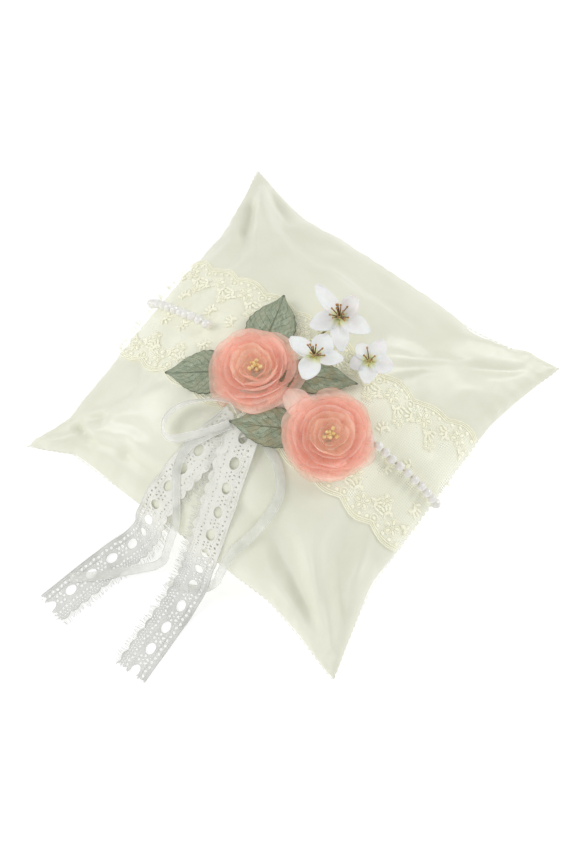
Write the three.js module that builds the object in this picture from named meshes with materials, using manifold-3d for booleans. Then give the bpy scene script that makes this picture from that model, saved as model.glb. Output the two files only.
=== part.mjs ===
// A square satin ring bearer pillow: a stuffed cover, an embroidered lace sash with two bead garlands,
// and a spray of two organza roses, four leaves and three wired blossoms over a ribbon bow and lace tails.
// Millimetres. +Z is up, +X runs along the sash, and the origin is the middle of the underside.
import * as THREE from "three";
import { mergeVertices } from "three/addons/utils/BufferGeometryUtils.js";
import Module from "manifold-3d";

// Driving dimensions
const gap = 0.35; // between pieces that touch
const clothThickness = 0.8; // of a cover panel

const cushion = {
  side: 200, // from corner tip to corner tip
  sidePull: 12, // how far the middle of a side is drawn in
  earStart: 0.5, // share of a half side where it starts to turn out to its corner tip
  earPower: 1.25, // 1 turns out in a straight line, and more starts softer
  crown: 38, // rise of the front above the seam
  seamHeight: 22, // of the seam above the table, at the middle of a side
  cornerDrop: 8, // how much lower the corner tips hang
  belly: 31, // fall of the back below the seam before the table stops it
};
const sash = { halfWidth: 34, thickness: 0.5, scallops: 10, scallopDepth: 2.4, tuck: 0.965 };
const garland = { bead: 4.8, pitch: 5.1, beads: 11, threadDiameter: 0.9, outerStep: 0.955 };
const felt = { margin: 10.2, width: 29, thickness: 1 }; // margin: past each rose's middle
const rose = {
  rings: [9, 12.5, 16, 20], // cup radius of each whorl of petals
  heights: [15, 14.4, 13, 11], // cup height of each whorl
  roots: [0.36, 0.42, 0.47, 0.52], // share of the cup's turn where its petals start
  cupTurn: 95, // how far a cup turns from its pole to its rim, in degrees
  petalsPerRing: 3,
  petalSpan: 80, // half the angle that a petal takes, in degrees
  spiral: 2.4, // how much a petal's radius grows along it
  thickness: 0.4,
  discMargin: 0.5, // of the disc past the outer petals' roots
  discThickness: 1.2,
};
const leafThickness = 0.5;
const blossom = { thickness: 0.5, hubRadius: 2, hubHeight: 1.2, stemDiameter: 1.1 };
const laceTail = { width: 18.5, thickness: 0.5, hang: 66 };
const ribbon = { width: 4.6, thickness: 0.4 };
const knot = { x: -3.5, y: -27.6, length: 7.2, width: 4.8, height: 3.8 };
const tailStart = 3.9; // from the knot's middle to where the lace tails start
const foldGap = 1.6; // between the two stretches of a tail at the cushion's edge
const tableLift = 0.2; // under a strip that lies on the table

// The tails fold down along this line, just outside the cushion's edge and above its seam
const foldY = -(cushion.side / 2 - cushion.sidePull) - 3.5;
const foldZ = cushion.seamHeight + 2;

// Lifts of the layers above the cushion's front
const sashTop = gap + sash.thickness;
const feltTop = sashTop + gap + felt.thickness;
const leafLift = feltTop + gap + leafThickness / 2;
const discTop = leafLift + leafThickness / 2 + gap + rose.discThickness;
const petalFoot = gap + rose.thickness / 2; // of the petals' roots above the disc
const knotLift = sashTop + 0.15 + knot.height / 2;
const knotTop = knotLift + knot.height / 2;

// The two roses stand side by side, with their outer petals just clear of each other
const spray = { x: 9.5, y: -10, turn: -6.5, clearance: 0.4 };
const roseRadius = rose.rings.at(-1) + rose.spiral;
const roseSize = { left: 1, right: 1.02 };
const rosesApart = roseRadius * (roseSize.left + roseSize.right) + spray.clearance;

const quarter = Math.PI / 2;
const half = cushion.side / 2;
const clamp = THREE.MathUtils.clamp;
const mix = THREE.MathUtils.lerp;
const radians = THREE.MathUtils.degToRad;

// A rose's disc reaches just past the roots of its outer petals
const rootTurn = radians(rose.roots.at(-1) * rose.cupTurn);
const discSize = roseRadius * Math.sin(rootTurn) + rose.discMargin;

const wasm = await Module();
wasm.setup();

const finish = (color, roughness, metalness = 0) =>
  new THREE.MeshStandardMaterial({ color, roughness, metalness });
const satin = finish(0xefefe0, 0.35);
const wadding = finish(0xf7f7f4, 0.95);
const sashLace = finish(0xf3f0d9, 0.8);
const pearl = finish(0xf3eff0, 0.2);
const feltCloth = finish(0xeeeadd, 0.95);
const organza = finish(0xeb9f88, 0.6);
const buckram = finish(0xd98c76, 0.9);
const stamenGold = finish(0xf2d79a, 0.3);
const leafCloth = finish(0x8f9f86, 0.7);
const blossomSilk = finish(0xfafaf7, 0.6);
const stamenBrown = finish(0x8a5a2c, 0.6);
const stemTape = finish(0xb5b06a, 0.7);
const cottonLace = finish(0xefeff0, 0.85);
const satinRibbon = finish(0xe9eae2, 0.4);

const pillow = new THREE.Group();

function add(name, geometry, material, parent = pillow) {
  const mesh = new THREE.Mesh(geometry, material);
  mesh.name = name;
  parent.add(mesh);
  return mesh;
}

// A closed slab of cells across x along. place(a, b, c) gives each corner; a, b and c run from -1 to 1.
function slab(across, along, place) {
  const geometry = new THREE.BoxGeometry(2, 2, 2, across, along, 1);
  const corners = geometry.attributes.position;
  for (let i = 0; i < corners.count; i++) {
    const p = place(corners.getX(i), corners.getY(i), corners.getZ(i));
    corners.setXYZ(i, p.x, p.y, p.z);
  }
  return geometry;
}

function solid(geometry) {
  const bare = geometry.clone();
  bare.deleteAttribute("normal");
  bare.deleteAttribute("uv");
  const merged = mergeVertices(bare, 1e-4);
  return new wasm.Manifold(
    new wasm.Mesh({
      numProp: 3,
      vertProperties: merged.attributes.position.array,
      triVerts: new Uint32Array(merged.index.array),
    }),
  );
}

function joined(geometries) {
  const mesh = geometries.map(solid).reduce((sum, piece) => sum.add(piece)).getMesh();
  return new THREE.BufferGeometry()
    .setAttribute("position", new THREE.BufferAttribute(new Float32Array(mesh.vertProperties), 3))
    .setIndex(new THREE.BufferAttribute(new Uint32Array(mesh.triVerts), 1));
}

// The cushion's surface. s and t run from -1 to 1 across a panel, and u and v are their sines.
function seamZ(u, v) {
  return cushion.seamHeight - cushion.cornerDrop * (u * v) ** 2;
}
function reach(across, along) {
  const share = Math.max(0, Math.abs(along) - cushion.earStart) / (1 - cushion.earStart);
  const flare = share ** cushion.earPower;
  return half - cushion.sidePull * across * across * (1 - flare);
}
function planPoint(u, v) {
  return [u * reach(u, v), v * reach(v, u)];
}
function skinPoint(s, t, rise) {
  const u = Math.sin(s * quarter);
  const v = Math.sin(t * quarter);
  const [x, y] = planPoint(u, v);
  const z = seamZ(u, v) + rise * Math.cos(s * quarter) * Math.cos(t * quarter);
  return new THREE.Vector3(x, y, Math.max(z, 0));
}
function skinNormal(s, t, rise) {
  const inner = 0.97;
  const step = 0.004;
  const a = clamp(s, -inner, inner);
  const b = clamp(t, -inner, inner);
  const alongS = skinPoint(a + step, b, rise).sub(skinPoint(a - step, b, rise));
  const alongT = skinPoint(a, b + step, rise).sub(skinPoint(a, b - step, rise));
  return alongS.cross(alongT).normalize();
}
function onFront(s, t, lift) {
  return skinPoint(s, t, cushion.crown).addScaledVector(skinNormal(s, t, cushion.crown), lift);
}
// The point of the front over x, y, raised by lift along the surface's normal.
function spot(x, y, lift) {
  let u = x / half;
  let v = y / half;
  for (let i = 0; i < 12; i++) {
    const newU = clamp(x / reach(u, v), -1, 1);
    v = clamp(y / reach(v, u), -1, 1);
    u = newU;
  }
  return onFront(Math.asin(u) / quarter, Math.asin(v) / quarter, lift);
}

function makeCover() {
  const cells = 16;
  const front = slab(cells, cells, (a, b, c) => {
    const p = onFront(a, b, c > 0 ? 0 : -clothThickness);
    const u = Math.sin(a * quarter);
    const v = Math.sin(b * quarter);
    p.z = Math.max(p.z, seamZ(u, v) + gap / 2);
    return p;
  });
  add("cover_front_panel", front, satin);
  const back = slab(cells, cells, (a, b, c) => {
    const p = skinPoint(a, b, -cushion.belly);
    const u = Math.sin(a * quarter);
    const v = Math.sin(b * quarter);
    if (c > 0) {
      const [x, y] = planPoint(u, v);
      const inset = 1 - clothThickness / half;
      p.set(x * inset, y * inset, p.z + clothThickness);
    }
    p.z = Math.min(p.z, seamZ(u, v) - gap / 2);
    return p;
  });
  add("cover_back_panel", back, satin);
}

function makeFilling() {
  const share = 0.8; // of each panel's width that the wadding takes
  const clear = clothThickness + gap + 0.6;
  const cells = 12;
  const body = slab(cells, cells, (a, b, c) => {
    const s = a * share;
    const t = b * share;
    if (c > 0) return onFront(s, t, -clear);
    const p = skinPoint(s, t, -cushion.belly);
    p.z += clear * 1.7;
    return p;
  });
  add("fibre_filling", body, wadding);
}

function makeSash() {
  const { halfWidth, thickness, scallops, scallopDepth, tuck } = sash;
  const band = slab(30, 4, (a, b, c) => {
    const wave = scallopDepth * Math.abs(Math.sin(((a + 1) / 2) * Math.PI * scallops));
    const v = (b * (halfWidth - scallopDepth + wave)) / half;
    return onFront(a * tuck, Math.asin(v) / quarter, gap + (c > 0 ? thickness : 0));
  });
  add("lace_sash", band, sashLace);
}

// A garland's beads are moulded on to their thread, so each garland is one piece.
function makeGarland(name, sign) {
  const lift = gap + sash.thickness + gap + garland.bead / 2;
  const y = -2;
  const t = Math.asin(y / half) / quarter;
  const steps = 400;
  const centres = [];
  let s = garland.outerStep;
  let last = onFront(sign * s, t, lift);
  centres.push(last);
  for (let i = 1; i <= steps && centres.length < garland.beads; i++) {
    const next = onFront(sign * garland.outerStep * (1 - i / steps), t, lift);
    if (next.distanceTo(last) < garland.pitch) continue;
    centres.push(next);
    last = next;
  }
  const beads = centres.map((p) =>
    new THREE.SphereGeometry(garland.bead / 2, 8, 5).translate(p.x, p.y, p.z),
  );
  const path = new THREE.CatmullRomCurve3(centres);
  const section = new THREE.Shape();
  section.absarc(0, 0, garland.threadDiameter / 2, 0, 2 * Math.PI, false);
  const thread = new THREE.ExtrudeGeometry(section, {
    steps: centres.length * 2,
    curveSegments: 4,
    extrudePath: path,
    bevelEnabled: false,
  });
  add(name, joined([thread, ...beads]), pearl);
}

// A flat-woven strip along route, a list of [point, up] pairs.
function strip(route, width, thickness, cells) {
  const line = new THREE.CatmullRomCurve3(route.map(([p]) => p), false, "centripetal");
  const ups = new THREE.CatmullRomCurve3(route.map(([, n]) => n), false, "centripetal");
  return slab(1, cells, (a, b, c) => {
    const k = line.getUtoTmapping((b + 1) / 2);
    const along = line.getTangent(k);
    const up = ups.getPoint(k).normalize();
    const side = new THREE.Vector3().crossVectors(along, up).normalize();
    const out = new THREE.Vector3().crossVectors(side, along).normalize();
    return line
      .getPoint(k)
      .addScaledVector(side, (a * width) / 2)
      .addScaledVector(out, (c * thickness) / 2);
  });
}

const worldUp = new THREE.Vector3(0, 0, 1);
// Points of a strip that lies on the cushion, from [x, y, lift] triples.
function onCushion(triples) {
  return triples.map(([x, y, lift]) => {
    const p = spot(x, y, lift);
    return [p, p.clone().sub(spot(x, y, 0)).normalize()];
  });
}
// Points of a strip that hangs in the air or lies on the table, from [x, y, z] triples.
const inAir = (triples) => triples.map((p) => [new THREE.Vector3(...p), worldUp.clone()]);

// A strip that lies on the cushion and then hangs over its edge, in two stretches that meet at the fold.
// upper holds [x, share, lift]: share runs from 0 at the strip's start, startY, to 1 at the fold.
// lower holds [x, out, fall, lift]: out is the distance beyond the fold, and fall runs from 0 at the
// fold's height to 1 at the table.
function drapedStrip(name, { startY, foldX, upper, lower, width, thickness, material }) {
  const laid = onCushion(upper.map(([x, share, lift]) => [x, mix(startY, foldY, share), lift]));
  const hung = inAir(lower.map(([x, out, fall, lift]) => [x, foldY - out, foldZ * (1 - fall) + lift]));
  const slant = 0.72; // how steeply the strip crosses the fold
  const atFold = (out) => [
    new THREE.Vector3(foldX, foldY - out, foldZ - slant * out),
    new THREE.Vector3(0, -0.5, 0.86),
  ];
  add(name, strip([...laid, atFold(-foldGap / 2)], width, thickness, 14), material);
  add(name + "_end", strip([atFold(foldGap / 2), ...hung], width, thickness, 12), material);
}

// The left tail lies on the sash, and the right one crosses over it.
function makeLaceTails() {
  const { width, thickness, hang } = laceTail;
  const onTable = tableLift + thickness / 2;
  const leftLift = sashTop + gap + thickness / 2;
  const rightLift = leftLift + thickness + 1.4 * gap;
  const shared = { startY: knot.y - tailStart, width, thickness, material: cottonLace };
  const leftUpper = [[-6, 0], [-10, 0.225], [-13.5, 0.475], [-16.5, 0.69], [-18, 0.84]];
  drapedStrip("lace_tail_left", {
    ...shared,
    foldX: -19,
    upper: [...leftUpper.map((p) => [...p, leftLift]), [-18.6, 0.91, leftLift]],
    lower: [
      [-20, 5.5, 0.42, 0], [-21.5, 9.5, 0.73, 0], [-23.5, 14.5, 1, onTable + 1.7],
      [-26.5, 22.5, 1, onTable + 0.3], [-31, 38.5, 1, onTable], [-37.5, hang, 1, onTable],
    ],
  });
  const rightUpper = [[-2, 0], [2, 0.225], [6, 0.475], [9, 0.69], [11, 0.84]];
  drapedStrip("lace_tail_right", {
    ...shared,
    foldX: 12,
    upper: [...rightUpper.map((p) => [...p, rightLift]), [11.6, 0.91, leftLift]],
    lower: [
      [12.3, 5.5, 0.37, 0], [12.6, 9.5, 0.63, 0], [12.9, 14.5, 1, onTable + 4.4],
      [13.3, 21.5, 1, onTable + 1.7], [13.8, 30.5, 1, onTable + 0.4], [15, hang, 1, onTable],
    ],
  });
}

// The left ribbon lies over the lace, and the right one passes under the right lace tail on the table.
function makeRibbonTails() {
  const { width, thickness } = ribbon;
  const laceTop = tableLift + laceTail.thickness;
  const overLace = laceTop + gap + thickness / 2;
  const onTable = tableLift + thickness / 2;
  const lowLift = sashTop + gap + thickness / 2;
  const highLift = sashTop + 3.8 * gap + 2 * laceTail.thickness + thickness / 2;
  const shared = { width, thickness, material: satinRibbon };
  const leftUpper = [[-7, 0], [-13, 0.165], [-19, 0.36], [-18, 0.55], [-11, 0.73], [-6.4, 0.85]];
  drapedStrip("ribbon_tail_left", {
    ...shared,
    startY: knot.y - tailStart - 3,
    foldX: -6,
    upper: [...leftUpper.map((p) => [...p, highLift]), [-6, 0.915, lowLift + laceTail.thickness]],
    lower: [
      [-6, 4.5, 0.33, 0], [-6.3, 8, 0.65, 0], [-6.6, 12.5, 1, overLace + 1.5],
      [-10.5, 18.5, 1, overLace + 2.2], [-21, 29.5, 1, overLace + 1.2],
      [-32, 40, 1, overLace + 0.3], [-41, 47.5, 1, overLace],
    ],
  });
  drapedStrip("ribbon_tail_right", {
    ...shared,
    startY: knot.y - tailStart - 1.5,
    foldX: 25,
    upper: [
      [11.5, 0, lowLift], [22, 0.085, lowLift], [30, 0.24, lowLift + 0.2], [31.5, 0.425, lowLift + 0.6],
      [29.5, 0.63, lowLift + 0.6], [26, 0.8, lowLift + 0.2], [25.2, 0.905, lowLift],
    ],
    lower: [
      [24.2, 4, 0.4, 0], [21.5, 7.5, 0.74, 0], [16.5, 12, 1, onTable + 0.8],
      [10, 15.5, 1, onTable], [1.2, 18, 1, onTable],
    ],
  });
}

function makeBow() {
  const low = knotTop - 1.2;
  const loop = [
    [-4.5, -2.9, 0], [-14.5, -0.9, 0.6], [-25.5, -5.4, 1.6], [-32, -14.4, 2.1],
    [-31.5, -23.4, 1.6], [-24.5, -26.9, 1.6], [-14.5, -20.4, 1.6], [-6.5, -11.9, 1.8],
  ];
  const route = onCushion(loop.map(([dx, dy, lift]) => [knot.x + dx, knot.y + dy, low + lift]));
  add("ribbon_loop", strip(route, ribbon.width, ribbon.thickness, 22), satinRibbon);
  const centre = spot(knot.x, knot.y, knotLift);
  const ball = new THREE.SphereGeometry(0.5, 10, 8).scale(knot.length, knot.width, knot.height);
  add("ribbon_knot", ball.translate(centre.x, centre.y, centre.z), satinRibbon);
}

function makeFelt() {
  const { margin, width, thickness } = felt;
  const length = rosesApart + 2 * margin;
  const pad = slab(10, 5, (a, b, c) => {
    const x = spray.x + (a * Math.sqrt(1 - (b * b) / 2) * length) / 2;
    const y = spray.y + (b * Math.sqrt(1 - (a * a) / 2) * width) / 2;
    return spot(x, y, feltTop - (c > 0 ? 0 : thickness));
  });
  add("flower_backing_felt", pad, feltCloth);
}

function polar({ x, y }, angle, distance) {
  return [x + distance * Math.cos(radians(angle)), y + distance * Math.sin(radians(angle))];
}

function roseCentre(side) {
  const [x, y] = polar(spray, spray.turn, ((side === "left" ? -1 : 1) * rosesApart) / 2);
  return { x, y };
}

// A leaf that starts under a rose's disc and runs out at an angle, to reach past the rose's rim.
// It stays flat for its first fifth, then rises to tipLift, with its edges arched down.
function makeLeaf(name, side, { angle, reach, width, tipLift }) {
  const centre = roseCentre(side);
  const base = polar(centre, angle, 0.6 * discSize);
  const tip = polar(centre, angle, roseRadius * roseSize[side] + reach);
  const along = new THREE.Vector2(Math.cos(radians(angle)), Math.sin(radians(angle)));
  const leaf = slab(4, 9, (a, b, c) => {
    const k = (b + 1) / 2;
    const bulge = Math.sin(Math.PI * (0.06 + 0.925 * k ** 0.85)) ** 0.8;
    const out = (a * width * bulge) / 2;
    const x = mix(base[0], tip[0], k) + along.y * out;
    const y = mix(base[1], tip[1], k) - along.x * out;
    const middleLift = mix(leafLift, tipLift, Math.max(0, k - 0.2) / 0.8);
    const arch = 1.1 * (a * k) ** 2 * bulge;
    return spot(x, y, middleLift - arch + (c * leafThickness) / 2);
  });
  add(name, leaf, leafCloth);
}

// A point on a petal's cup: angle round it, h from the cup's pole (0) to its rim (1), and depth outwards.
// The cup stands so that its point at h = root is at z = 0.
function cupPoint(radius, height, root, angle, h, depth) {
  const fullTurn = radians(rose.cupTurn);
  const turn = h * fullTurn;
  const slopeR = radius * Math.cos(turn);
  const slopeZ = height * Math.sin(turn);
  const length = Math.hypot(slopeR, slopeZ);
  const r = radius * Math.sin(turn) + (depth * slopeZ) / length;
  const z = height * (Math.cos(root * fullTurn) - Math.cos(turn)) - (depth * slopeR) / length;
  return new THREE.Vector3(r * Math.cos(angle), r * Math.sin(angle), z);
}

// A rose in its own frame: its buckram disc's top is at z = 0 and its petals stand on the disc.
function makeRose(side, firstAngle) {
  const name = "rose_" + side;
  const size = roseSize[side];
  const { x, y } = roseCentre(side);
  const seat = spot(x, y, discTop);
  const group = new THREE.Group();
  group.position.copy(seat);
  group.quaternion.setFromUnitVectors(worldUp, seat.clone().sub(spot(x, y, 0)).normalize());
  pillow.add(group);
  const discRadius = discSize * size;
  const disc = new THREE.CylinderGeometry(discRadius, discRadius, rose.discThickness, 20);
  disc.rotateX(quarter).translate(0, 0, -rose.discThickness / 2);
  add(name + "_buckram_disc", disc, buckram, group);
  rose.rings.forEach((ring, k) => {
    const height = rose.heights[k] * size;
    const root = rose.roots[k];
    for (let j = 0; j < rose.petalsPerRing; j++) {
      const middle = firstAngle + k * 50 + (j * 360) / rose.petalsPerRing;
      const petal = slab(6, 3, (a, b, c) => {
        const radius = (ring + (rose.spiral * (a + 1)) / 2) * size;
        const rim = 1 - 0.16 * a ** 4;
        const angle = radians(middle + a * rose.petalSpan);
        const depth = (c * rose.thickness) / 2;
        return cupPoint(radius, height, root, angle, mix(root, rim, (b + 1) / 2), depth);
      });
      petal.translate(0, 0, petalFoot);
      add(`${name}_whorl_${k + 1}_petal_${j + 1}`, petal, organza, group);
    }
  });
  makeRoseStamens(name + "_stamens", group);
}

function makeRoseStamens(name, group) {
  const buttonRadius = 2.2;
  const headRadius = 0.9;
  const headZ = 8.5;
  const button = new THREE.SphereGeometry(buttonRadius, 8, 6).scale(1, 1, 0.5);
  const tuft = [button.translate(0, 0, gap + buttonRadius / 2)];
  const pins = 5;
  for (let i = 0; i < pins; i++) {
    const pinFoot = gap + 0.6;
    const pin = new THREE.CylinderGeometry(0.3, 0.3, headZ - pinFoot, 5).rotateX(quarter);
    pin.translate(0, 0, (headZ + pinFoot) / 2);
    const head = new THREE.SphereGeometry(headRadius, 6, 4).translate(0, 0, headZ);
    for (const piece of [head, pin]) tuft.push(piece.rotateY(0.2).rotateZ((i / pins) * 2 * Math.PI));
  }
  add(name, joined(tuft), stamenGold, group);
}

// One silk petal of a blossom, as a slab that runs out along +X, turned to its own angle.
function blossomPetal([angle, length, width, rise]) {
  const petal = slab(6, 2, (a, b, c) => {
    const k = (a + 1) / 2;
    const spread = 0.14 + 0.86 * Math.sin(Math.PI * (0.1 + 0.82 * k)) ** 0.8;
    const y = (b * width * spread) / 2;
    const cup = 0.09 * b * b * width * spread;
    return new THREE.Vector3(mix(1, length, k), y, rise * k * k + cup + (c * blossom.thickness) / 2);
  });
  return petal.rotateZ(radians(angle));
}

// A blossom over the cushion at [x, y, lift]: petals are [angle, length, width, rise], and its stem
// comes up from root, another [x, y, lift].
function makeBlossom(name, at, petals, pins, root) {
  const { hubRadius, hubHeight, stemDiameter } = blossom;
  const centre = spot(...at);
  const corolla = petals.map(blossomPetal);
  corolla.push(new THREE.CylinderGeometry(hubRadius, 0.7 * hubRadius, hubHeight, 10).rotateX(quarter));
  add(name + "_corolla", joined(corolla).translate(centre.x, centre.y, centre.z), blossomSilk);
  const seat = hubHeight / 2 + gap;
  const button = new THREE.CylinderGeometry(1.5, 1.5, 0.8, 8).rotateX(quarter);
  const tuft = [button.translate(0, 0, seat + 0.4)];
  for (let i = 0; i < pins; i++) {
    const pin = new THREE.CylinderGeometry(0.35, 0.28, 5, 5).rotateX(quarter);
    pin.translate(0, 0, seat + 2.9);
    tuft.push(pin.rotateY(0.35).rotateZ((i / pins) * 2 * Math.PI));
  }
  add(name + "_stamens", joined(tuft).translate(centre.x, centre.y, centre.z), stamenBrown);
  const top = centre.clone().add(new THREE.Vector3(0, 0, -hubHeight / 2 - 0.6 - gap));
  const foot = spot(...root);
  const bend = new THREE.Vector3(mix(top.x, foot.x, 0.4), mix(top.y, foot.y, 0.4), mix(top.z, foot.z, 0.6));
  const section = new THREE.Shape();
  section.absarc(0, 0, stemDiameter / 2, 0, 2 * Math.PI, false);
  const wire = new THREE.ExtrudeGeometry(section, {
    steps: 6,
    curveSegments: 4,
    extrudePath: new THREE.CatmullRomCurve3([foot, bend, top]),
    bevelEnabled: false,
  });
  add(name + "_stem", wire, stemTape);
}

// The blossoms stand behind the roses: the lower one just over the left rose's rim, the others beyond it.
function makeBlossoms() {
  const outerHeight = rose.heights.at(-1);
  const rim = cupPoint(roseRadius, outerHeight, rose.roots.at(-1), 0, 1, 0).z + discTop + petalFoot;
  const left = roseCentre("left");
  const behind = (dx, dy, lift) => [left.x + dx, left.y + roseRadius + dy, lift];
  makeBlossom("blossom_upper", behind(16.6, 19.2, rim), [
    [162, 20, 8, 3], [236, 15.5, 10.5, 2], [308, 18, 9.5, 1], [6, 17, 10, 3], [76, 11, 10, 8],
  ], 8, behind(13, 2.3, discTop + 0.6));
  makeBlossom("blossom_lower", behind(19.4, -3.6, rim + 2.2), [
    [182, 14.5, 8.5, 4], [284, 13, 10.5, 1], [24, 14, 8, 4], [88, 12, 11, 2.5],
  ], 7, behind(19, 0.8, discTop + 3.6));
  makeBlossom("blossom_outer", behind(39, 11.6, rim - 3.5), [
    [-60, 12, 9, 1], [14, 12.5, 9.5, 2.5], [86, 12, 9, 3], [158, 10, 8, 1.5], [232, 10, 8.5, 1],
  ], 5, behind(30, 6.3, sashTop + 1.1));
}

makeCover();
makeFilling();
makeSash();
makeGarland("bead_garland_left", -1);
makeGarland("bead_garland_right", 1);
makeFelt();
makeLeaf("leaf_left", "left", { angle: 215, reach: 21, width: 22, tipLift: leafLift + 0.4 });
makeLeaf("leaf_top", "left", { angle: 109, reach: 18, width: 24, tipLift: leafLift + 0.6 });
makeLeaf("leaf_right", "left", { angle: 28, reach: 25.5, width: 17, tipLift: leafLift + 0.4 });
makeLeaf("leaf_front", "right", { angle: 208, reach: 23, width: 19, tipLift: knotTop + 2.6 });
makeRose("left", 20);
makeRose("right", 75);
makeLaceTails();
makeRibbonTails();
makeBow();
makeBlossoms();

export default pillow;
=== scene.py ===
import math
import random

import bpy
import numpy as np
from mathutils import Matrix, Vector
from mathutils.bvhtree import BVHTree


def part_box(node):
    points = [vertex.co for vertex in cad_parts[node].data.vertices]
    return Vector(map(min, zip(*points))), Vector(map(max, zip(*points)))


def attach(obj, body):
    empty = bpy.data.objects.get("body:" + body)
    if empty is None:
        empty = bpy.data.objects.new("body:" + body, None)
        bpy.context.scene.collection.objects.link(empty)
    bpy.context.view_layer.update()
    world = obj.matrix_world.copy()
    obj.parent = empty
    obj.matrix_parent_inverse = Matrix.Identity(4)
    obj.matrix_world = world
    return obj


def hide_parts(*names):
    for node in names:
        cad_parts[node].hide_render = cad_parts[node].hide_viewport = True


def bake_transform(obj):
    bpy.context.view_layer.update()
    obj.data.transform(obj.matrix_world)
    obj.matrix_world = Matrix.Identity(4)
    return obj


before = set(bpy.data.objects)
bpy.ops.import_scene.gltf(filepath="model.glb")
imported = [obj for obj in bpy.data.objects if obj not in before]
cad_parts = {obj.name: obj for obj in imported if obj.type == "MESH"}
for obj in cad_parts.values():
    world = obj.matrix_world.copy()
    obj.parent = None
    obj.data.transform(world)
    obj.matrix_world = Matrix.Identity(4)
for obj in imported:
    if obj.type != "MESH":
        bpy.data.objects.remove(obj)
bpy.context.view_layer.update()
scene = bpy.context.scene
mm = 0.001


# ---- camera, light and floor

view = dict(
    azimuth=44.9,  # degrees round from the -Y side
    elevation=73.3,
    roll=-8.2,
    distance=0.563,
    target=(0.0073, -0.0133, 0.02),
    lens=45.83,  # millimetres on a 36 mm sensor
)


def setCamera():
    azimuth, elevation, roll = (math.radians(view[k]) for k in ("azimuth", "elevation", "roll"))
    flat = math.cos(elevation)
    back = Vector((math.sin(azimuth) * flat, -math.cos(azimuth) * flat, math.sin(elevation)))
    place = Vector(view["target"]) + back * view["distance"]
    right = (-back).cross(Vector((0, 0, 1))).normalized()
    up = right.cross(-back)
    side = math.cos(roll) * right + math.sin(roll) * up
    top = -math.sin(roll) * right + math.cos(roll) * up
    camera = bpy.data.objects.new("camera", bpy.data.cameras.new("camera"))
    camera.data.lens = view["lens"]
    camera.data.sensor_width = 36
    camera.data.clip_start = 0.01
    camera.matrix_world = Matrix(
        (
            (side.x, top.x, back.x, place.x),
            (side.y, top.y, back.y, place.y),
            (side.z, top.z, back.z, place.z),
            (0, 0, 0, 1),
        )
    )
    scene.collection.objects.link(camera)
    scene.camera = camera


light = dict(world=0.5, key=1.9, keySize=0.42, fill=2.25, fillSize=0.3, low=1.3)


def addSoftbox(name, place, size, power):
    lamp = bpy.data.lights.new(name, "AREA")
    lamp.size = size
    lamp.energy = power
    box = bpy.data.objects.new(name, lamp)
    box.location = place
    aim = Vector((0, 0, 0.03)) - Vector(place)
    box.rotation_euler = aim.to_track_quat("-Z", "Y").to_euler()
    scene.collection.objects.link(box)


def setLight():
    world = bpy.data.worlds.new("studio")
    world.use_nodes = True
    world.node_tree.nodes["Background"].inputs["Color"].default_value = (1, 1, 1, 1)
    world.node_tree.nodes["Background"].inputs["Strength"].default_value = light["world"]
    scene.world = world
    scene.view_settings.view_transform = "Standard"
    addSoftbox("key", (-0.56, -0.26, 0.5), light["keySize"], light["key"])
    addSoftbox("fill", (0.35, 0.6, 0.5), light["fillSize"], light["fill"])
    addSoftbox("low", (0.3, -0.65, 0.4), 0.5, light["low"])


# ---- node building

def put(tree, kind, inputs=None, **settings):
    node = tree.nodes.new(kind)
    for name, value in settings.items():
        setattr(node, name, value)
    for name, value in (inputs or {}).items():
        if isinstance(value, bpy.types.NodeSocket):
            tree.links.new(value, node.inputs[name])
        else:
            node.inputs[name].default_value = value
    return node


def sums(tree, operation, a, b=0.0, c=None):
    inputs = {0: a, 1: b}
    if c is not None:
        inputs[2] = c
    return put(tree, "ShaderNodeMath", inputs, operation=operation).outputs[0]


def ramp(tree, value, low, high, start=0.0, end=1.0):
    inputs = {"Value": value, "From Min": low, "From Max": high, "To Min": start, "To Max": end}
    node = put(tree, "ShaderNodeMapRange", inputs, interpolation_type="SMOOTHSTEP")
    return node.outputs["Result"]


def tint(tree, share, first, second, mode="MIX"):
    inputs = {0: share, 6: first, 7: second}
    return put(tree, "ShaderNodeMix", inputs, data_type="RGBA", blend_type=mode).outputs[2]


def newGroup(name, inputs, outputs):
    tree = bpy.data.node_groups.new(name, "ShaderNodeTree")
    for socketName, kind, value in inputs:
        socket = tree.interface.new_socket(socketName, in_out="INPUT", socket_type=kind)
        if value is not None:
            socket.default_value = value
    for socketName, kind in outputs:
        tree.interface.new_socket(socketName, in_out="OUTPUT", socket_type=kind)
    start = tree.nodes.new("NodeGroupInput").outputs
    end = tree.nodes.new("NodeGroupOutput").inputs
    return tree, start, end


numberSocket = "NodeSocketFloat"
vectorSocket = "NodeSocketVector"


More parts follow.
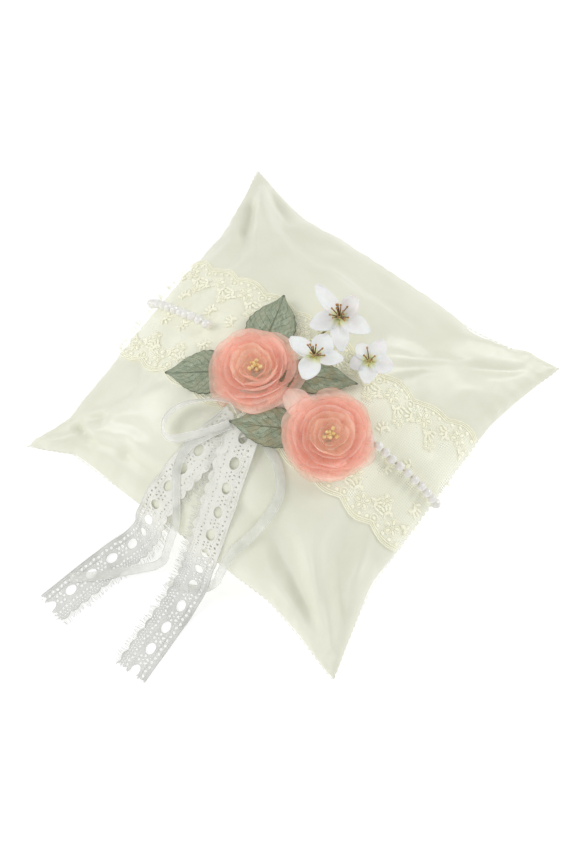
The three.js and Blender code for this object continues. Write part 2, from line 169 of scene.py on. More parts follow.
# Over-and-under threads. Across and Along are threads per unit of the coordinates.
def makeWeave():
    tree, start, end = newGroup(
        "wovenThreads",
        [
            ("Coordinates", vectorSocket, None),
            ("Across", numberSocket, 3.0),
            ("Along", numberSocket, 3.0),
            ("Unevenness", numberSocket, 0.3),
        ],
        [("Height", numberSocket), ("Shade", numberSocket)],
    )
    wander = put(tree, "ShaderNodeTexNoise", {"Vector": start["Coordinates"], "Scale": 0.7, "Detail": 2.0})
    shift = sums(tree, "MULTIPLY", wander.outputs[0], start["Unevenness"])
    axes = put(tree, "ShaderNodeSeparateXYZ", {0: start["Coordinates"]}).outputs
    turns = []
    for axis, rate in ((axes[0], "Across"), (axes[1], "Along")):
        moved = sums(tree, "ADD", axis, shift)
        angle = sums(tree, "MULTIPLY", sums(tree, "MULTIPLY", moved, start[rate]), math.pi)
        turns.append(sums(tree, "SINE", angle))
    crossing = sums(tree, "MULTIPLY", turns[0], turns[1])
    tree.links.new(sums(tree, "MULTIPLY_ADD", crossing, 0.5, 0.5), end["Height"])
    fibre = put(tree, "ShaderNodeTexNoise", {"Vector": start["Coordinates"], "Scale": 5.0, "Detail": 3.0})
    tree.links.new(ramp(tree, fibre.outputs[0], 0.3, 0.7), end["Shade"])
    return tree


# Soft cloudy change of tone, with Size in units of the coordinates.
def makeMottle():
    tree, start, end = newGroup(
        "softMottle",
        [
            ("Coordinates", vectorSocket, None),
            ("Size", numberSocket, 10.0),
            ("Softness", numberSocket, 0.25),
        ],
        [("Tone", numberSocket)],
    )
    scale = sums(tree, "DIVIDE", 1.0, start["Size"])
    noise = put(tree, "ShaderNodeTexNoise", {"Vector": start["Coordinates"], "Scale": scale, "Detail": 3.0})
    low = sums(tree, "SUBTRACT", 0.5, start["Softness"])
    high = sums(tree, "ADD", 0.5, start["Softness"])
    tree.links.new(ramp(tree, noise.outputs[0], low, high), end["Tone"])
    return tree


# Fine crinkles and stray fibres, stretched along the second coordinate.
def makeCrinkle():
    tree, start, end = newGroup(
        "fineCrinkle",
        [
            ("Coordinates", vectorSocket, None),
            ("Size", numberSocket, 2.0),
            ("Stretch", numberSocket, 3.0),
        ],
        [("Height", numberSocket)],
    )
    squeeze = put(tree, "ShaderNodeCombineXYZ", {0: 1.0, 1: sums(tree, "DIVIDE", 1.0, start["Stretch"]), 2: 1.0})
    inputs = {0: start["Coordinates"], 1: squeeze.outputs[0]}
    stretched = put(tree, "ShaderNodeVectorMath", inputs, operation="MULTIPLY").outputs[0]
    scale = sums(tree, "DIVIDE", 1.0, start["Size"])
    inputs = {"Vector": stretched, "Scale": scale, "Detail": 4.0, "Distortion": 0.6}
    noise = put(tree, "ShaderNodeTexNoise", inputs)
    tree.links.new(noise.outputs[0], end["Height"])
    return tree


# A mask that is 1 at the rim of a cut edge, where Across runs from -1 to 1 and Along from 0 to 1.
def makeCutEdge():
    tree, start, end = newGroup(
        "cutEdge",
        [
            ("Across", numberSocket, 0.0),
            ("Along", numberSocket, 0.0),
            ("Width", numberSocket, 0.06),
            ("Raggedness", numberSocket, 0.02),
            ("Coordinates", vectorSocket, None),
        ],
        [("Mask", numberSocket)],
    )
    noise = put(tree, "ShaderNodeTexNoise", {"Vector": start["Coordinates"], "Scale": 1.2, "Detail": 2.0})
    away = sums(tree, "MULTIPLY", sums(tree, "SUBTRACT", noise.outputs[0], 0.5), start["Raggedness"])
    side = sums(tree, "ABSOLUTE", start["Across"])
    nearest = sums(tree, "ADD", sums(tree, "MAXIMUM", side, start["Along"]), away)
    begin = sums(tree, "SUBTRACT", 1.0, start["Width"])
    tree.links.new(ramp(tree, nearest, begin, 1.0), end["Mask"])
    return tree


weave = makeWeave()
mottle = makeMottle()
crinkle = makeCrinkle()
cutEdge = makeCutEdge()
print("node groups made")


def addGroup(tree, group, inputs):
    node = tree.nodes.new("ShaderNodeGroup")
    node.node_tree = group
    for name, value in inputs.items():
        if isinstance(value, bpy.types.NodeSocket):
            tree.links.new(value, node.inputs[name])
        else:
            node.inputs[name].default_value = value
    return node.outputs


def newFinish(name, roughness, **fixed):
    material = bpy.data.materials.new(name)
    material.use_nodes = True
    tree = material.node_tree
    shader = tree.nodes["Principled BSDF"]
    shader.inputs["Roughness"].default_value = roughness
    for socket, value in fixed.items():
        shader.inputs[socket.replace("_", " ")].default_value = value
    return material, tree, shader


# Millimetres over the object's own surface, laid out flat by each piece's builder.
def flatMm(tree):
    return put(tree, "ShaderNodeUVMap", uv_map="flat").outputs[0]


def solidMm(tree):
    place = put(tree, "ShaderNodeTexCoord").outputs["Object"]
    return put(tree, "ShaderNodeVectorMath", {0: place, 3: 1000.0}, operation="SCALE").outputs[0]


# Where on the piece: x runs from -1 to 1 across it, and y from 0 to 1 along it.
def shareOf(tree):
    return put(tree, "ShaderNodeSeparateXYZ", {0: put(tree, "ShaderNodeUVMap", uv_map="share").outputs[0]}).outputs


def bumps(tree, shader, layers):
    normal = None
    for height, strength, depth in layers:
        node = put(tree, "ShaderNodeBump", {"Height": height, "Strength": strength, "Distance": depth})
        if normal is not None:
            tree.links.new(normal, node.inputs["Normal"])
        normal = node.outputs[0]
    tree.links.new(normal, shader.inputs["Normal"])


def paint(red, green, blue):
    return tuple(((c / 255 + 0.055) / 1.055) ** 2.4 if c > 10 else c / 3294 for c in (red, green, blue)) + (1,)


# ---- finishes

satinLook = dict(light=(241, 241, 224), dark=(228, 229, 207), roughness=0.4, threads=4.0, crease=0.4)


def makeSatin():
    material, tree, shader = newFinish(
        "ivorySatin", satinLook["roughness"], Sheen_Weight=0.2, Sheen_Roughness=0.4, Specular_IOR_Level=0.85
    )
    place = solidMm(tree)
    cloud = addGroup(tree, mottle, {"Coordinates": place, "Size": 34.0, "Softness": 0.3})["Tone"]
    threads = addGroup(tree, weave, {"Coordinates": place, "Across": 5.0, "Along": satinLook["threads"]})
    color = tint(tree, cloud, paint(*satinLook["dark"]), paint(*satinLook["light"]))
    fleck = sums(tree, "MULTIPLY", threads["Shade"], 0.16)
    color = tint(tree, fleck, color, paint(250, 250, 240))
    tree.links.new(color, shader.inputs["Base Color"])
    tree.links.new(ramp(tree, cloud, 0.0, 1.0, 0.48, 0.39), shader.inputs["Roughness"])
    folds = addGroup(tree, crinkle, {"Coordinates": place, "Size": 15.0, "Stretch": 2.2})["Height"]
    fine = addGroup(tree, crinkle, {"Coordinates": place, "Size": 3.5, "Stretch": 1.3})["Height"]
    bumps(
        tree,
        shader,
        [
            (folds, satinLook["crease"], 0.0016),
            (fine, 0.12, 0.0005),
            (threads["Height"], 0.12, 0.00006),
        ],
    )
    return material


def makeRibbonSatin(name, light, dark, alpha):
    material, tree, shader = newFinish(name, 0.3, Sheen_Weight=0.3, Specular_IOR_Level=0.6)
    place = flatMm(tree)
    threads = addGroup(tree, weave, {"Coordinates": place, "Across": 4.0, "Along": 1.5, "Unevenness": 0.1})
    cloud = addGroup(tree, mottle, {"Coordinates": place, "Size": 7.0, "Softness": 0.3})["Tone"]
    share = shareOf(tree)
    rim = addGroup(tree, cutEdge, {"Across": share[0], "Along": 0.0, "Width": 0.13, "Raggedness": 0.05})["Mask"]
    color = tint(tree, cloud, paint(*dark), paint(*light))
    color = tint(tree, sums(tree, "MULTIPLY", rim, 0.5), color, paint(252, 252, 248))
    tree.links.new(color, shader.inputs["Base Color"])
    clear = sums(tree, "MULTIPLY_ADD", rim, 1.0 - alpha, alpha)
    tree.links.new(clear, shader.inputs["Alpha"])
    streak = addGroup(tree, crinkle, {"Coordinates": place, "Size": 1.6, "Stretch": 6.0})["Height"]
    bumps(tree, shader, [(streak, 0.3, 0.0004), (threads["Height"], 0.2, 0.00008), (rim, 0.4, 0.0002)])
    return material


netLook = dict(color=(250, 250, 240), cell=1.1, thread=0.14, veil=0.05)


# Six-sided net: solid along the threads between cells, and nearly clear inside them.
def makeNet():
    material, tree, shader = newFinish("sheerNet", 0.6, Sheen_Weight=0.3)
    place = flatMm(tree)
    inputs = {"Vector": place, "Scale": 1.0 / netLook["cell"], "Randomness": 0.35}
    cells = put(tree, "ShaderNodeTexVoronoi", inputs, feature="DISTANCE_TO_EDGE", voronoi_dimensions="2D")
    thread = ramp(tree, cells.outputs["Distance"], netLook["thread"], netLook["thread"] * 0.4)
    cloud = addGroup(tree, mottle, {"Coordinates": place, "Size": 12.0, "Softness": 0.35})["Tone"]
    color = tint(tree, cloud, paint(246, 245, 230), paint(*netLook["color"]))
    tree.links.new(color, shader.inputs["Base Color"])
    veil = sums(tree, "MULTIPLY_ADD", cloud, 0.08, netLook["veil"])
    clear = sums(tree, "MULTIPLY_ADD", thread, 0.16, veil)
    # A painted glow lightens the net so it reads brighter than the satin it veils.
    shader.inputs["Emission Color"].default_value = (1, 1, 0.93, 1)
    shader.inputs["Emission Strength"].default_value = 0.35
    tree.links.new(clear, shader.inputs["Alpha"])
    bumps(tree, shader, [(thread, 0.4, 0.0001)])
    return material


def makeThread(name, light, dark, size, roughness=0.7, glow=0.0):
    material, tree, shader = newFinish(name, roughness, Sheen_Weight=0.4, Emission_Strength=glow)
    shader.inputs["Emission Color"].default_value = paint(*light)
    place = solidMm(tree)
    cloud = addGroup(tree, mottle, {"Coordinates": place, "Size": size, "Softness": 0.25})["Tone"]
    twist = addGroup(tree, crinkle, {"Coordinates": place, "Size": 0.5, "Stretch": 2.5})["Height"]
    share = ramp(tree, sums(tree, "ADD", cloud, sums(tree, "MULTIPLY", twist, 0.4)), 0.2, 1.2)
    tree.links.new(tint(tree, share, paint(*dark), paint(*light)), shader.inputs["Base Color"])
    bumps(tree, shader, [(twist, 0.5, 0.0002)])
    return material


def makePearl():
    material, tree, shader = newFinish("pearlCoat", 0.16, Coat_Weight=0.7, Coat_Roughness=0.08)
    shader.inputs["Specular IOR Level"].default_value = 0.6
    place = solidMm(tree)
    cloud = addGroup(tree, mottle, {"Coordinates": place, "Size": 1.6, "Softness": 0.3})["Tone"]
    tree.links.new(tint(tree, cloud, paint(232, 230, 224), paint(248, 247, 242)), shader.inputs["Base Color"])
    tree.links.new(ramp(tree, cloud, 0.0, 1.0, 0.12, 0.24), shader.inputs["Roughness"])
    bumps(tree, shader, [(cloud, 0.1, 0.0002)])
    return material


def makeFuzz(name, light, dark, size, roughness=0.95):
    material, tree, shader = newFinish(name, roughness, Sheen_Weight=0.6, Sheen_Roughness=0.5)
    place = solidMm(tree)
    cloud = addGroup(tree, mottle, {"Coordinates": place, "Size": size, "Softness": 0.3})["Tone"]
    fibres = addGroup(tree, crinkle, {"Coordinates": place, "Size": 0.8, "Stretch": 2.0})["Height"]
    share = sums(tree, "MULTIPLY_ADD", fibres, 0.5, sums(tree, "MULTIPLY", cloud, 0.5))
    tree.links.new(tint(tree, share, paint(*dark), paint(*light)), shader.inputs["Base Color"])
    bumps(tree, shader, [(fibres, 0.7, 0.0006)])
    return material


organzaLook = dict(hemWidth=0.05, crease=0.55)


# Sheer cloth, denser where it is gathered at the foot and along its rolled hem.
def makeOrganza(name, light, dark, hemColor, alpha):
    material, tree, shader = newFinish(
        name, 0.55, Sheen_Weight=0.5, Sheen_Roughness=0.35, Subsurface_Weight=0.25, Subsurface_Scale=0.002
    )
    shader.inputs["Subsurface Radius"].default_value = (1.0, 0.45, 0.3)
    place = flatMm(tree)
    share = shareOf(tree)
    threads = addGroup(tree, weave, {"Coordinates": place, "Across": 3.0, "Along": 3.0, "Unevenness": 0.15})
    cloud = addGroup(tree, mottle, {"Coordinates": solidMm(tree), "Size": 5.0, "Softness": 0.25})["Tone"]
    inputs = {
        "Across": share[0],
        "Along": share[1],
        "Width": organzaLook["hemWidth"],
        "Raggedness": 0.03,
        "Coordinates": place,
    }
    hem = addGroup(tree, cutEdge, inputs)["Mask"]
    depth = ramp(tree, share[1], 0.1, 0.95)
    body = tint(tree, sums(tree, "MULTIPLY_ADD", cloud, 0.4, sums(tree, "MULTIPLY", depth, 0.6)), paint(*dark), paint(*light))
    creases = addGroup(tree, crinkle, {"Coordinates": place, "Size": 2.2, "Stretch": 5.0})["Height"]
    body = tint(tree, sums(tree, "MULTIPLY", ramp(tree, creases, 0.5, 0.72), organzaLook["crease"]), body, paint(*hemColor))
    tree.links.new(tint(tree, sums(tree, "MULTIPLY", hem, 0.75), body, paint(*hemColor)), shader.inputs["Base Color"])
    thick = sums(tree, "MULTIPLY", sums(tree, "SUBTRACT", 1.0, depth), 0.55)
    clear = sums(tree, "ADD", sums(tree, "ADD", alpha, thick), sums(tree, "MULTIPLY", hem, 0.3))
    tree.links.new(sums(tree, "MINIMUM", clear, 1.0), shader.inputs["Alpha"])
    # A tinted painted glow lifts the shaded gaps between the petals.
    shader.inputs["Emission Color"].default_value = (0.95, 0.64, 0.53, 1)
    shader.inputs["Emission Strength"].default_value = 0.12
    bumps(tree, shader, [(creases, 0.45, 0.0008), (threads["Height"], 0.2, 0.00006)])
    return material


leafLook = dict(veins=9.0, lean=3.2, light=(182, 194, 170), dark=(134, 151, 127), rim=(78, 88, 72))


# Veins leave the midrib at a slant. Rust is how much of the leaf is smudged with gold brown.
def makeLeafCloth(name, rust):
    material, tree, shader = newFinish(name, 0.62, Sheen_Weight=0.15, Specular_IOR_Level=0.3)
    share = shareOf(tree)
    place = flatMm(tree)
    cloud = addGroup(tree, mottle, {"Coordinates": place, "Size": 5.0, "Softness": 0.25})["Tone"]
    hairs = addGroup(tree, crinkle, {"Coordinates": place, "Size": 0.9, "Stretch": 4.0})["Height"]
    side = sums(tree, "ABSOLUTE", share[0])
    wander = sums(tree, "MULTIPLY", sums(tree, "SUBTRACT", cloud, 0.5), 0.5)
    slant = sums(tree, "SUBTRACT", sums(tree, "MULTIPLY", share[1], leafLook["veins"]), sums(tree, "MULTIPLY", side, leafLook["lean"]))
    wave = sums(tree, "ABSOLUTE", sums(tree, "SINE", sums(tree, "MULTIPLY", sums(tree, "ADD", slant, wander), math.pi)))
    sideVein = ramp(tree, wave, 0.22, 0.02)
    small = sums(tree, "ABSOLUTE", sums(tree, "SINE", sums(tree, "MULTIPLY", sums(tree, "ADD", slant, hairs), math.pi * 4)))
    hairVein = sums(tree, "MULTIPLY", ramp(tree, small, 0.45, 0.05), 0.8)
    midrib = ramp(tree, side, 0.055, 0.015)
    veins = sums(tree, "MAXIMUM", sums(tree, "MAXIMUM", sideVein, hairVein), midrib)
    inputs = {"Across": share[0], "Along": share[1], "Width": 0.05, "Raggedness": 0.04, "Coordinates": place}
    rim = addGroup(tree, cutEdge, inputs)["Mask"]
    body = tint(tree, cloud, paint(*leafLook["dark"]), paint(*leafLook["light"]))
    streaks = sums(tree, "MULTIPLY", ramp(tree, hairs, 0.45, 0.62), 0.55)
    body = tint(tree, streaks, body, paint(204, 211, 184))
    body = tint(tree, sums(tree, "MULTIPLY", veins, 0.72), body, paint(84, 98, 80))
    patch = addGroup(tree, mottle, {"Coordinates": place, "Size": 6.5, "Softness": 0.1})["Tone"]
    smudge = sums(tree, "MULTIPLY", sums(tree, "MULTIPLY", patch, hairs), rust)
    body = tint(tree, sums(tree, "MINIMUM", smudge, 0.8), body, paint(158, 132, 84))
    tree.links.new(tint(tree, rim, body, paint(*leafLook["rim"])), shader.inputs["Base Color"])
    tree.links.new(ramp(tree, hairs, 0.2, 0.8, 0.5, 0.75), shader.inputs["Roughness"])
    bumps(tree, shader, [(veins, 0.6, 0.0003), (hairs, 0.4, 0.0002)])
    return material


def makePetalSilk():
    material, tree, shader = newFinish(
        "whiteSilk", 0.6, Sheen_Weight=0.3, Subsurface_Weight=0.15, Subsurface_Scale=0.002
    )
    share = shareOf(tree)
    place = flatMm(tree)
    cloud = addGroup(tree, mottle, {"Coordinates": place, "Size": 4.0, "Softness": 0.3})["Tone"]
    veins = addGroup(tree, crinkle, {"Coordinates": place, "Size": 1.2, "Stretch": 8.0})["Height"]
    threads = addGroup(tree, weave, {"Coordinates": place, "Across": 4.0, "Along": 4.0})
    body = tint(tree, cloud, paint(244, 245, 243), paint(254, 254, 253))
    throat = ramp(tree, share[1], 0.3, 0.0)
    tree.links.new(tint(tree, sums(tree, "MULTIPLY", throat, 0.8), body, paint(226, 224, 128)), shader.inputs["Base Color"])
    bumps(tree, shader, [(veins, 0.5, 0.0005), (threads["Height"], 0.15, 0.00006)])
    return material


def makeLaceCotton():
    material, tree, shader = newFinish("laceCotton", 0.8, Sheen_Weight=0.4)
    place = flatMm(tree)
    threads = addGroup(tree, weave, {"Coordinates": place, "Across": 1.9, "Along": 1.9, "Unevenness": 0.5})
    cloud = addGroup(tree, mottle, {"Coordinates": place, "Size": 5.0, "Softness": 0.3})["Tone"]
    knots = addGroup(tree, crinkle, {"Coordinates": place, "Size": 0.7, "Stretch": 1.2})["Height"]
    share = sums(tree, "MULTIPLY_ADD", threads["Height"], 0.35, sums(tree, "MULTIPLY", cloud, 0.65))
    # Off the cushion the lace gets painted shade: a darker copy of its colour for the free ends on the table.
    offCushion = tint(tree, share, paint(216, 217, 213), paint(236, 236, 232))
    onCushion = tint(tree, share, paint(240, 240, 231), paint(250, 250, 243))
    away = ramp(tree, shareOf(tree)[1], 0.42, 0.6)  # the free ends on the table get painted shade, darker than the part on the cushion
    tree.links.new(tint(tree, away, onCushion, offCushion), shader.inputs["Base Color"])
    shader.inputs["Alpha"].default_value = 0.8
    # A faint painted glow lightens the lace.
    shader.inputs["Emission Color"].default_value = (1, 1, 0.98, 1)
    shader.inputs["Emission Strength"].default_value = 0.05
    bumps(tree, shader, [(threads["Height"], 0.5, 0.0002), (knots, 0.3, 0.00015)])
    return material


def makeWax(name, light, dark):
    material, tree, shader = newFinish(name, 0.5, Coat_Weight=0.2, Coat_Roughness=0.4)
    place = solidMm(tree)
    cloud = addGroup(tree, mottle, {"Coordinates": place, "Size": 2.0, "Softness": 0.3})["Tone"]
    wrap = addGroup(tree, crinkle, {"Coordinates": place, "Size": 0.9, "Stretch": 0.4})["Height"]
    tree.links.new(tint(tree, cloud, paint(*dark), paint(*light)), shader.inputs["Base Color"])
    tree.links.new(ramp(tree, wrap, 0.3, 0.7, 0.4, 0.65), shader.inputs["Roughness"])
    bumps(tree, shader, [(wrap, 0.5, 0.0003)])
    return material


def makeFloorPaper():
    material, tree, shader = newFinish("paper", 0.9, Specular_IOR_Level=0.1)
    place = solidMm(tree)
    cloud = addGroup(tree, mottle, {"Coordinates": place, "Size": 60.0, "Softness": 0.3})["Tone"]
    tree.links.new(tint(tree, cloud, (0.58, 0.58, 0.58, 1), (0.6, 0.6, 0.6, 1)), shader.inputs["Base Color"])
    shader.inputs["Emission Color"].default_value = (1, 1, 1, 1)
    shader.inputs["Emission Strength"].default_value = 0.55
    return material


satin = makeSatin()
ribbonSatin = makeRibbonSatin("ribbonSatin", (251, 251, 246), (232, 234, 226), 0.42)
bowSatin = makeRibbonSatin("bowSatin", (252, 252, 248), (238, 239, 231), 0.5)
net = makeNet()
# The cream cord gets a painted glow that lightens its shaded sides.
creamCord = makeThread("creamCord", (250, 249, 230), (244, 242, 217), 3.0, glow=0.09)
seamThread = makeThread("seamThread", (238, 238, 222), (214, 215, 196), 2.0)
goldThread = makeThread("goldThread", (214, 196, 150), (186, 164, 118), 2.0, 0.5)
pearlCoat = makePearl()
felt = makeFuzz("woolFelt", (238, 234, 222), (216, 211, 196), 4.0)
wadding = makeFuzz("fibreWadding", (250, 250, 248), (228, 228, 226), 9.0)
buckram = makeFuzz("stiffBuckram", (244, 190, 168), (226, 160, 138), 3.0, 0.85)
outerOrganza = makeOrganza("outerOrganza", (252, 221, 208), (247, 205, 191), (220, 160, 136), 0.45)
middleOrganza = makeOrganza("middleOrganza", (252, 216, 203), (246, 198, 182), (224, 146, 124), 0.6)
innerOrganza = makeOrganza("innerOrganza", (253, 226, 206), (247, 208, 188), (228, 150, 126), 0.58)
goldBead = makeWax("paleGoldBead", (250, 232, 178), (226, 188, 110))
leafCloth = makeLeafCloth("leafCloth", 0.25)
rustyLeafCloth = makeLeafCloth("rustyLeafCloth", 0.75)
whiteSilk = makePetalSilk()
stemTape = makeWax("stemTape", (178, 172, 84), (122, 116, 52))
calyxTape = makeWax("calyxTape", (234, 232, 136), (196, 196, 92))
brownThread = makeThread("brownStamen", (150, 100, 50), (92, 54, 22), 1.0, 0.5)
goldTip = makeThread("goldTip", (206, 158, 76), (150, 98, 40), 0.8, 0.4)
laceCotton = makeLaceCotton()
paper = makeFloorPaper()
print("finishes made")


# ---- mesh building

def newMesh(name, points, faces, material, smooth=True, flat=None, share=None):
    mesh = bpy.data.meshes.new(name)
    mesh.from_pydata([tuple(p) for p in points], [], faces)
    mesh.update()
    for label, values in (("flat", flat), ("share", share)):
        if values is None:
            continue
        layer = mesh.uv_layers.new(name=label)
        corners = np.zeros(len(mesh.loops), dtype=np.int32)
        mesh.loops.foreach_get("vertex_index", corners)
        layer.data.foreach_set("uv", np.asarray(values, dtype=np.float32)[corners].ravel())
    mesh.polygons.foreach_set("use_smooth", [smooth] * len(mesh.polygons))
    mesh.materials.append(material)
    piece = bpy.data.objects.new(name, mesh)
    scene.collection.objects.link(piece)
    return piece


# Points, faces and both maps of a sheet of cells. place takes arrays of a from -1 to 1 and b from 0 to 1.
def sheetCells(across, along, place, width, length):
    a, b = np.meshgrid(np.linspace(-1, 1, across + 1), np.linspace(0, 1, along + 1), indexing="ij")
    points = np.asarray(place(a, b), dtype=float).reshape(-1, 3)
    row = along + 1
    first = (np.arange(across)[:, None] * row + np.arange(along)[None, :]).ravel()
    faces = np.stack([first, first + row, first + row + 1, first + 1], axis=1)
    flat = np.stack([a.ravel() * width / 2 / mm, b.ravel() * length / mm], axis=1)
    share = np.stack([a.ravel(), b.ravel()], axis=1)
    return points, faces, flat, share


# Several sheets or tubes as one mesh.
def gather(parts):
    points, faces, flats, shares = [], [], [], []
    count = 0
    for part in parts:
        points.append(part[0])
        faces += [tuple(int(i) + count for i in face) for face in part[1]]
        flats.append(part[2])
        shares.append(part[3])
        count += len(part[0])
    return np.concatenate(points), faces, np.concatenate(flats), np.concatenate(shares)


def pieceOf(name, parts, material, thickness=0.0, subdivide=0):
    points, faces, flat, share = gather(parts)
    piece = newMesh(name, points, faces, material, flat=flat, share=share)
    if thickness:
        shell = piece.modifiers.new("thickness", "SOLIDIFY")
        shell.thickness = thickness
        shell.offset = 0
    if subdivide:
        smoother = piece.modifiers.new("smooth", "SUBSURF")
        smoother.levels = subdivide
        smoother.render_levels = subdivide
    return piece


def applyModifiers(piece):
    graph = bpy.context.evaluated_depsgraph_get()
    mesh = bpy.data.meshes.new_from_object(piece.evaluated_get(graph))
    piece.modifiers.clear()
    piece.data = mesh


def unit(vectors):
    return vectors / np.maximum(np.linalg.norm(vectors, axis=-1, keepdims=True), 1e-9)


# A tube round a line of points, closed at its ends by its last rings drawn in.
def tubeCells(line, radius, sides=6, capped=True, closed=False):
    line = np.asarray(line, dtype=float)
    radius = np.broadcast_to(np.asarray(radius, dtype=float), (len(line),)).copy()
    if closed:
        tangent = unit(np.roll(line, -1, axis=0) - np.roll(line, 1, axis=0))
    else:
        tangent = unit(np.gradient(line, axis=0))
        if capped:
            radius[[0, -1]] *= 0.35
    up = np.tile(np.array([0.0, 0.0, 1.0]), (len(line), 1))
    steep = np.abs(tangent[:, 2]) > 0.95
    up[steep] = (1.0, 0.0, 0.0)
    side = unit(np.cross(tangent, up))
    top = np.cross(side, tangent)
    angles = np.linspace(0, 2 * math.pi, sides, endpoint=False)
    ring = np.cos(angles)[None, :, None] * side[:, None, :] + np.sin(angles)[None, :, None] * top[:, None, :]
    points = (line[:, None, :] + ring * radius[:, None, None]).reshape(-1, 3)
    rows = len(line) if closed else len(line) - 1
    faces = []
    for i in range(rows):
        j = (i + 1) % len(line)
        for k in range(sides):
            m = (k + 1) % sides
            faces.append((i * sides + k, i * sides + m, j * sides + m, j * sides + k))
    run = np.concatenate([[0], np.cumsum(np.linalg.norm(np.diff(line, axis=0), axis=1))])
    flat = np.stack([np.tile(angles, len(line)) * radius.mean() / mm, np.repeat(run, sides) / mm], axis=1)
    share = np.stack([np.tile(np.cos(angles), len(line)), np.repeat(run / run[-1], sides)], axis=1)
    return points, faces, flat, share


# A smooth line of count points, evenly spaced, through the given ones.
def smoothLine(points, count):
    p = np.asarray(points, dtype=float)
    ends = np.concatenate([[2 * p[0] - p[1]], p, [2 * p[-1] - p[-2]]])
    rough = []
    for i in range(1, len(ends) - 2):
        before, start, end, after = ends[i - 1 : i + 3]
        for t in np.linspace(0, 1, 12, endpoint=False):
            bend = (2 * before - 5 * start + 4 * end - after) * t * t
            swing = (3 * start - before - 3 * end + after) * t**3
            rough.append(0.5 * (2 * start + (end - before) * t + bend + swing))
    rough = np.array(rough + [p[-1]])
    run = np.concatenate([[0], np.cumsum(np.linalg.norm(np.diff(rough, axis=0), axis=1))])
    wanted = np.linspace(0, run[-1], count)
    return np.stack([np.interp(wanted, run, rough[:, k]) for k in range(3)], axis=1)


def lengthOf(line):
    return float(np.linalg.norm(np.diff(line, axis=0), axis=1).sum())


def settle(piece, slotName, *nodes, body="pillow"):
    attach(piece, body)
    if nodes:
        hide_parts(*nodes)
    return piece


def middleOf(node):
    low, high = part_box(node)
    return (np.array(low) + np.array(high)) / 2


def smoothStep(x, low, high):
    t = np.clip((x - low) / (high - low), 0, 1)
    return t * t * (3 - 2 * t)


# ---- the cushion

cushion = dict(
    half=0.1,
    sidePull=0.012,
    ears=((0.75, 1.0), (0.5, 1.25), (0.5, 1.3), (0.56, 1.35)),  # start and power at each corner
    crown=0.038,
    belly=0.031,
    seamHeight=0.022,
    cornerDrop=0.008,
    cells=104,
    pressure=2.0,
    growth=0.03,  # how much longer the cloth is than its frame
    mostOut=0.0045,
    mostIn=0.0015,
    pleat=0.0009,  # depth of the folds that run in from a corner
    pucker=0.0007,  # depth of the gathers along the seam
    wave=0.0011,  # depth of the long soft waves
)
# Single long folds: x and y of both ends, width and height, in millimetres.
longFolds = [
    (-90, -73, -66, -97, 2.6, -2.4),
    (-99, -98, -80, -84, 3, 1.6),
    (-84, -82, -20, -64, 9, 2.4),
    (-82, -89, -8, -77, 6, -2.2),
    (-84, -72, -50, -48, 6, -1.6),
    (-60, -70, -10, -66, 8, 1.2),
    (92, -94, 52, -48, 7, 2.5),
    (93, -80, 66, -30, 6, -2.2),
    (80, -94, 36, -64, 6, -2.2),
    (70, -86, 26, -78, 7, 1.6),
    (86, -62, 74, -10, 6, 1.3),
    (93, 84, 48, 64, 6, -2.0),
    (92, 96, 36, 84, 6, 1.7),
    (84, 97, 30, 95, 5, -1.4),
    (90, 66, 62, 34, 8, 1.4),
    (-92, 93, -56, 56, 7, 2.2),
    (-82, 95, -46, 72, 6, -2.0),
    (-94, 80, -72, 46, 6, -2.0),
    (-88, 60, -78, 24, 6, 1.2),
    (-52, -88, -46, -60, 5, -1.2),
    (48, -88, 43, -62, 5, -1.1),
    (0, 88, 6, 60, 7, -1.2),
    (-30, 89, -34, 66, 6, -1.0),
    (88, 18, 64, 22, 6, -1.0),
    (-88, -34, -62, -38, 6, -1.1),
]


# How far a side has turned out to its corner tip. Corners are -X-Y, +X-Y, +X+Y and -X+Y.
def earFlare(u, v, along):
    flare = np.zeros_like(along)
    corners = ((u < 0) & (v < 0), (u >= 0) & (v < 0), (u >= 0) & (v >= 0), (u < 0) & (v >= 0))
    for (start, power), here in zip(cushion["ears"], corners):
        share = np.clip(np.abs(along) - start, 0, 1) / (1 - start)
        flare = np.where(here, share**power, flare)
    return flare


def skinPoint(u, v, rise):
    x = u * (cushion["half"] - cushion["sidePull"] * u**2 * (1 - earFlare(u, v, v)))
    y = v * (cushion["half"] - cushion["sidePull"] * v**2 * (1 - earFlare(u, v, u)))
    blunt = 0.0008 * smoothStep(np.abs(u * v), 0.93, 1.0)
    x = x - np.sign(u) * blunt
    y = y - np.sign(v) * blunt
    z = cushion["seamHeight"] - cushion["cornerDrop"] * (u * v) ** 2
    dome = np.sqrt(np.clip(1 - u * u, 0, 1)) * np.sqrt(np.clip(1 - v * v, 0, 1))
    return np.stack([x, y, z + rise * dome], axis=-1)


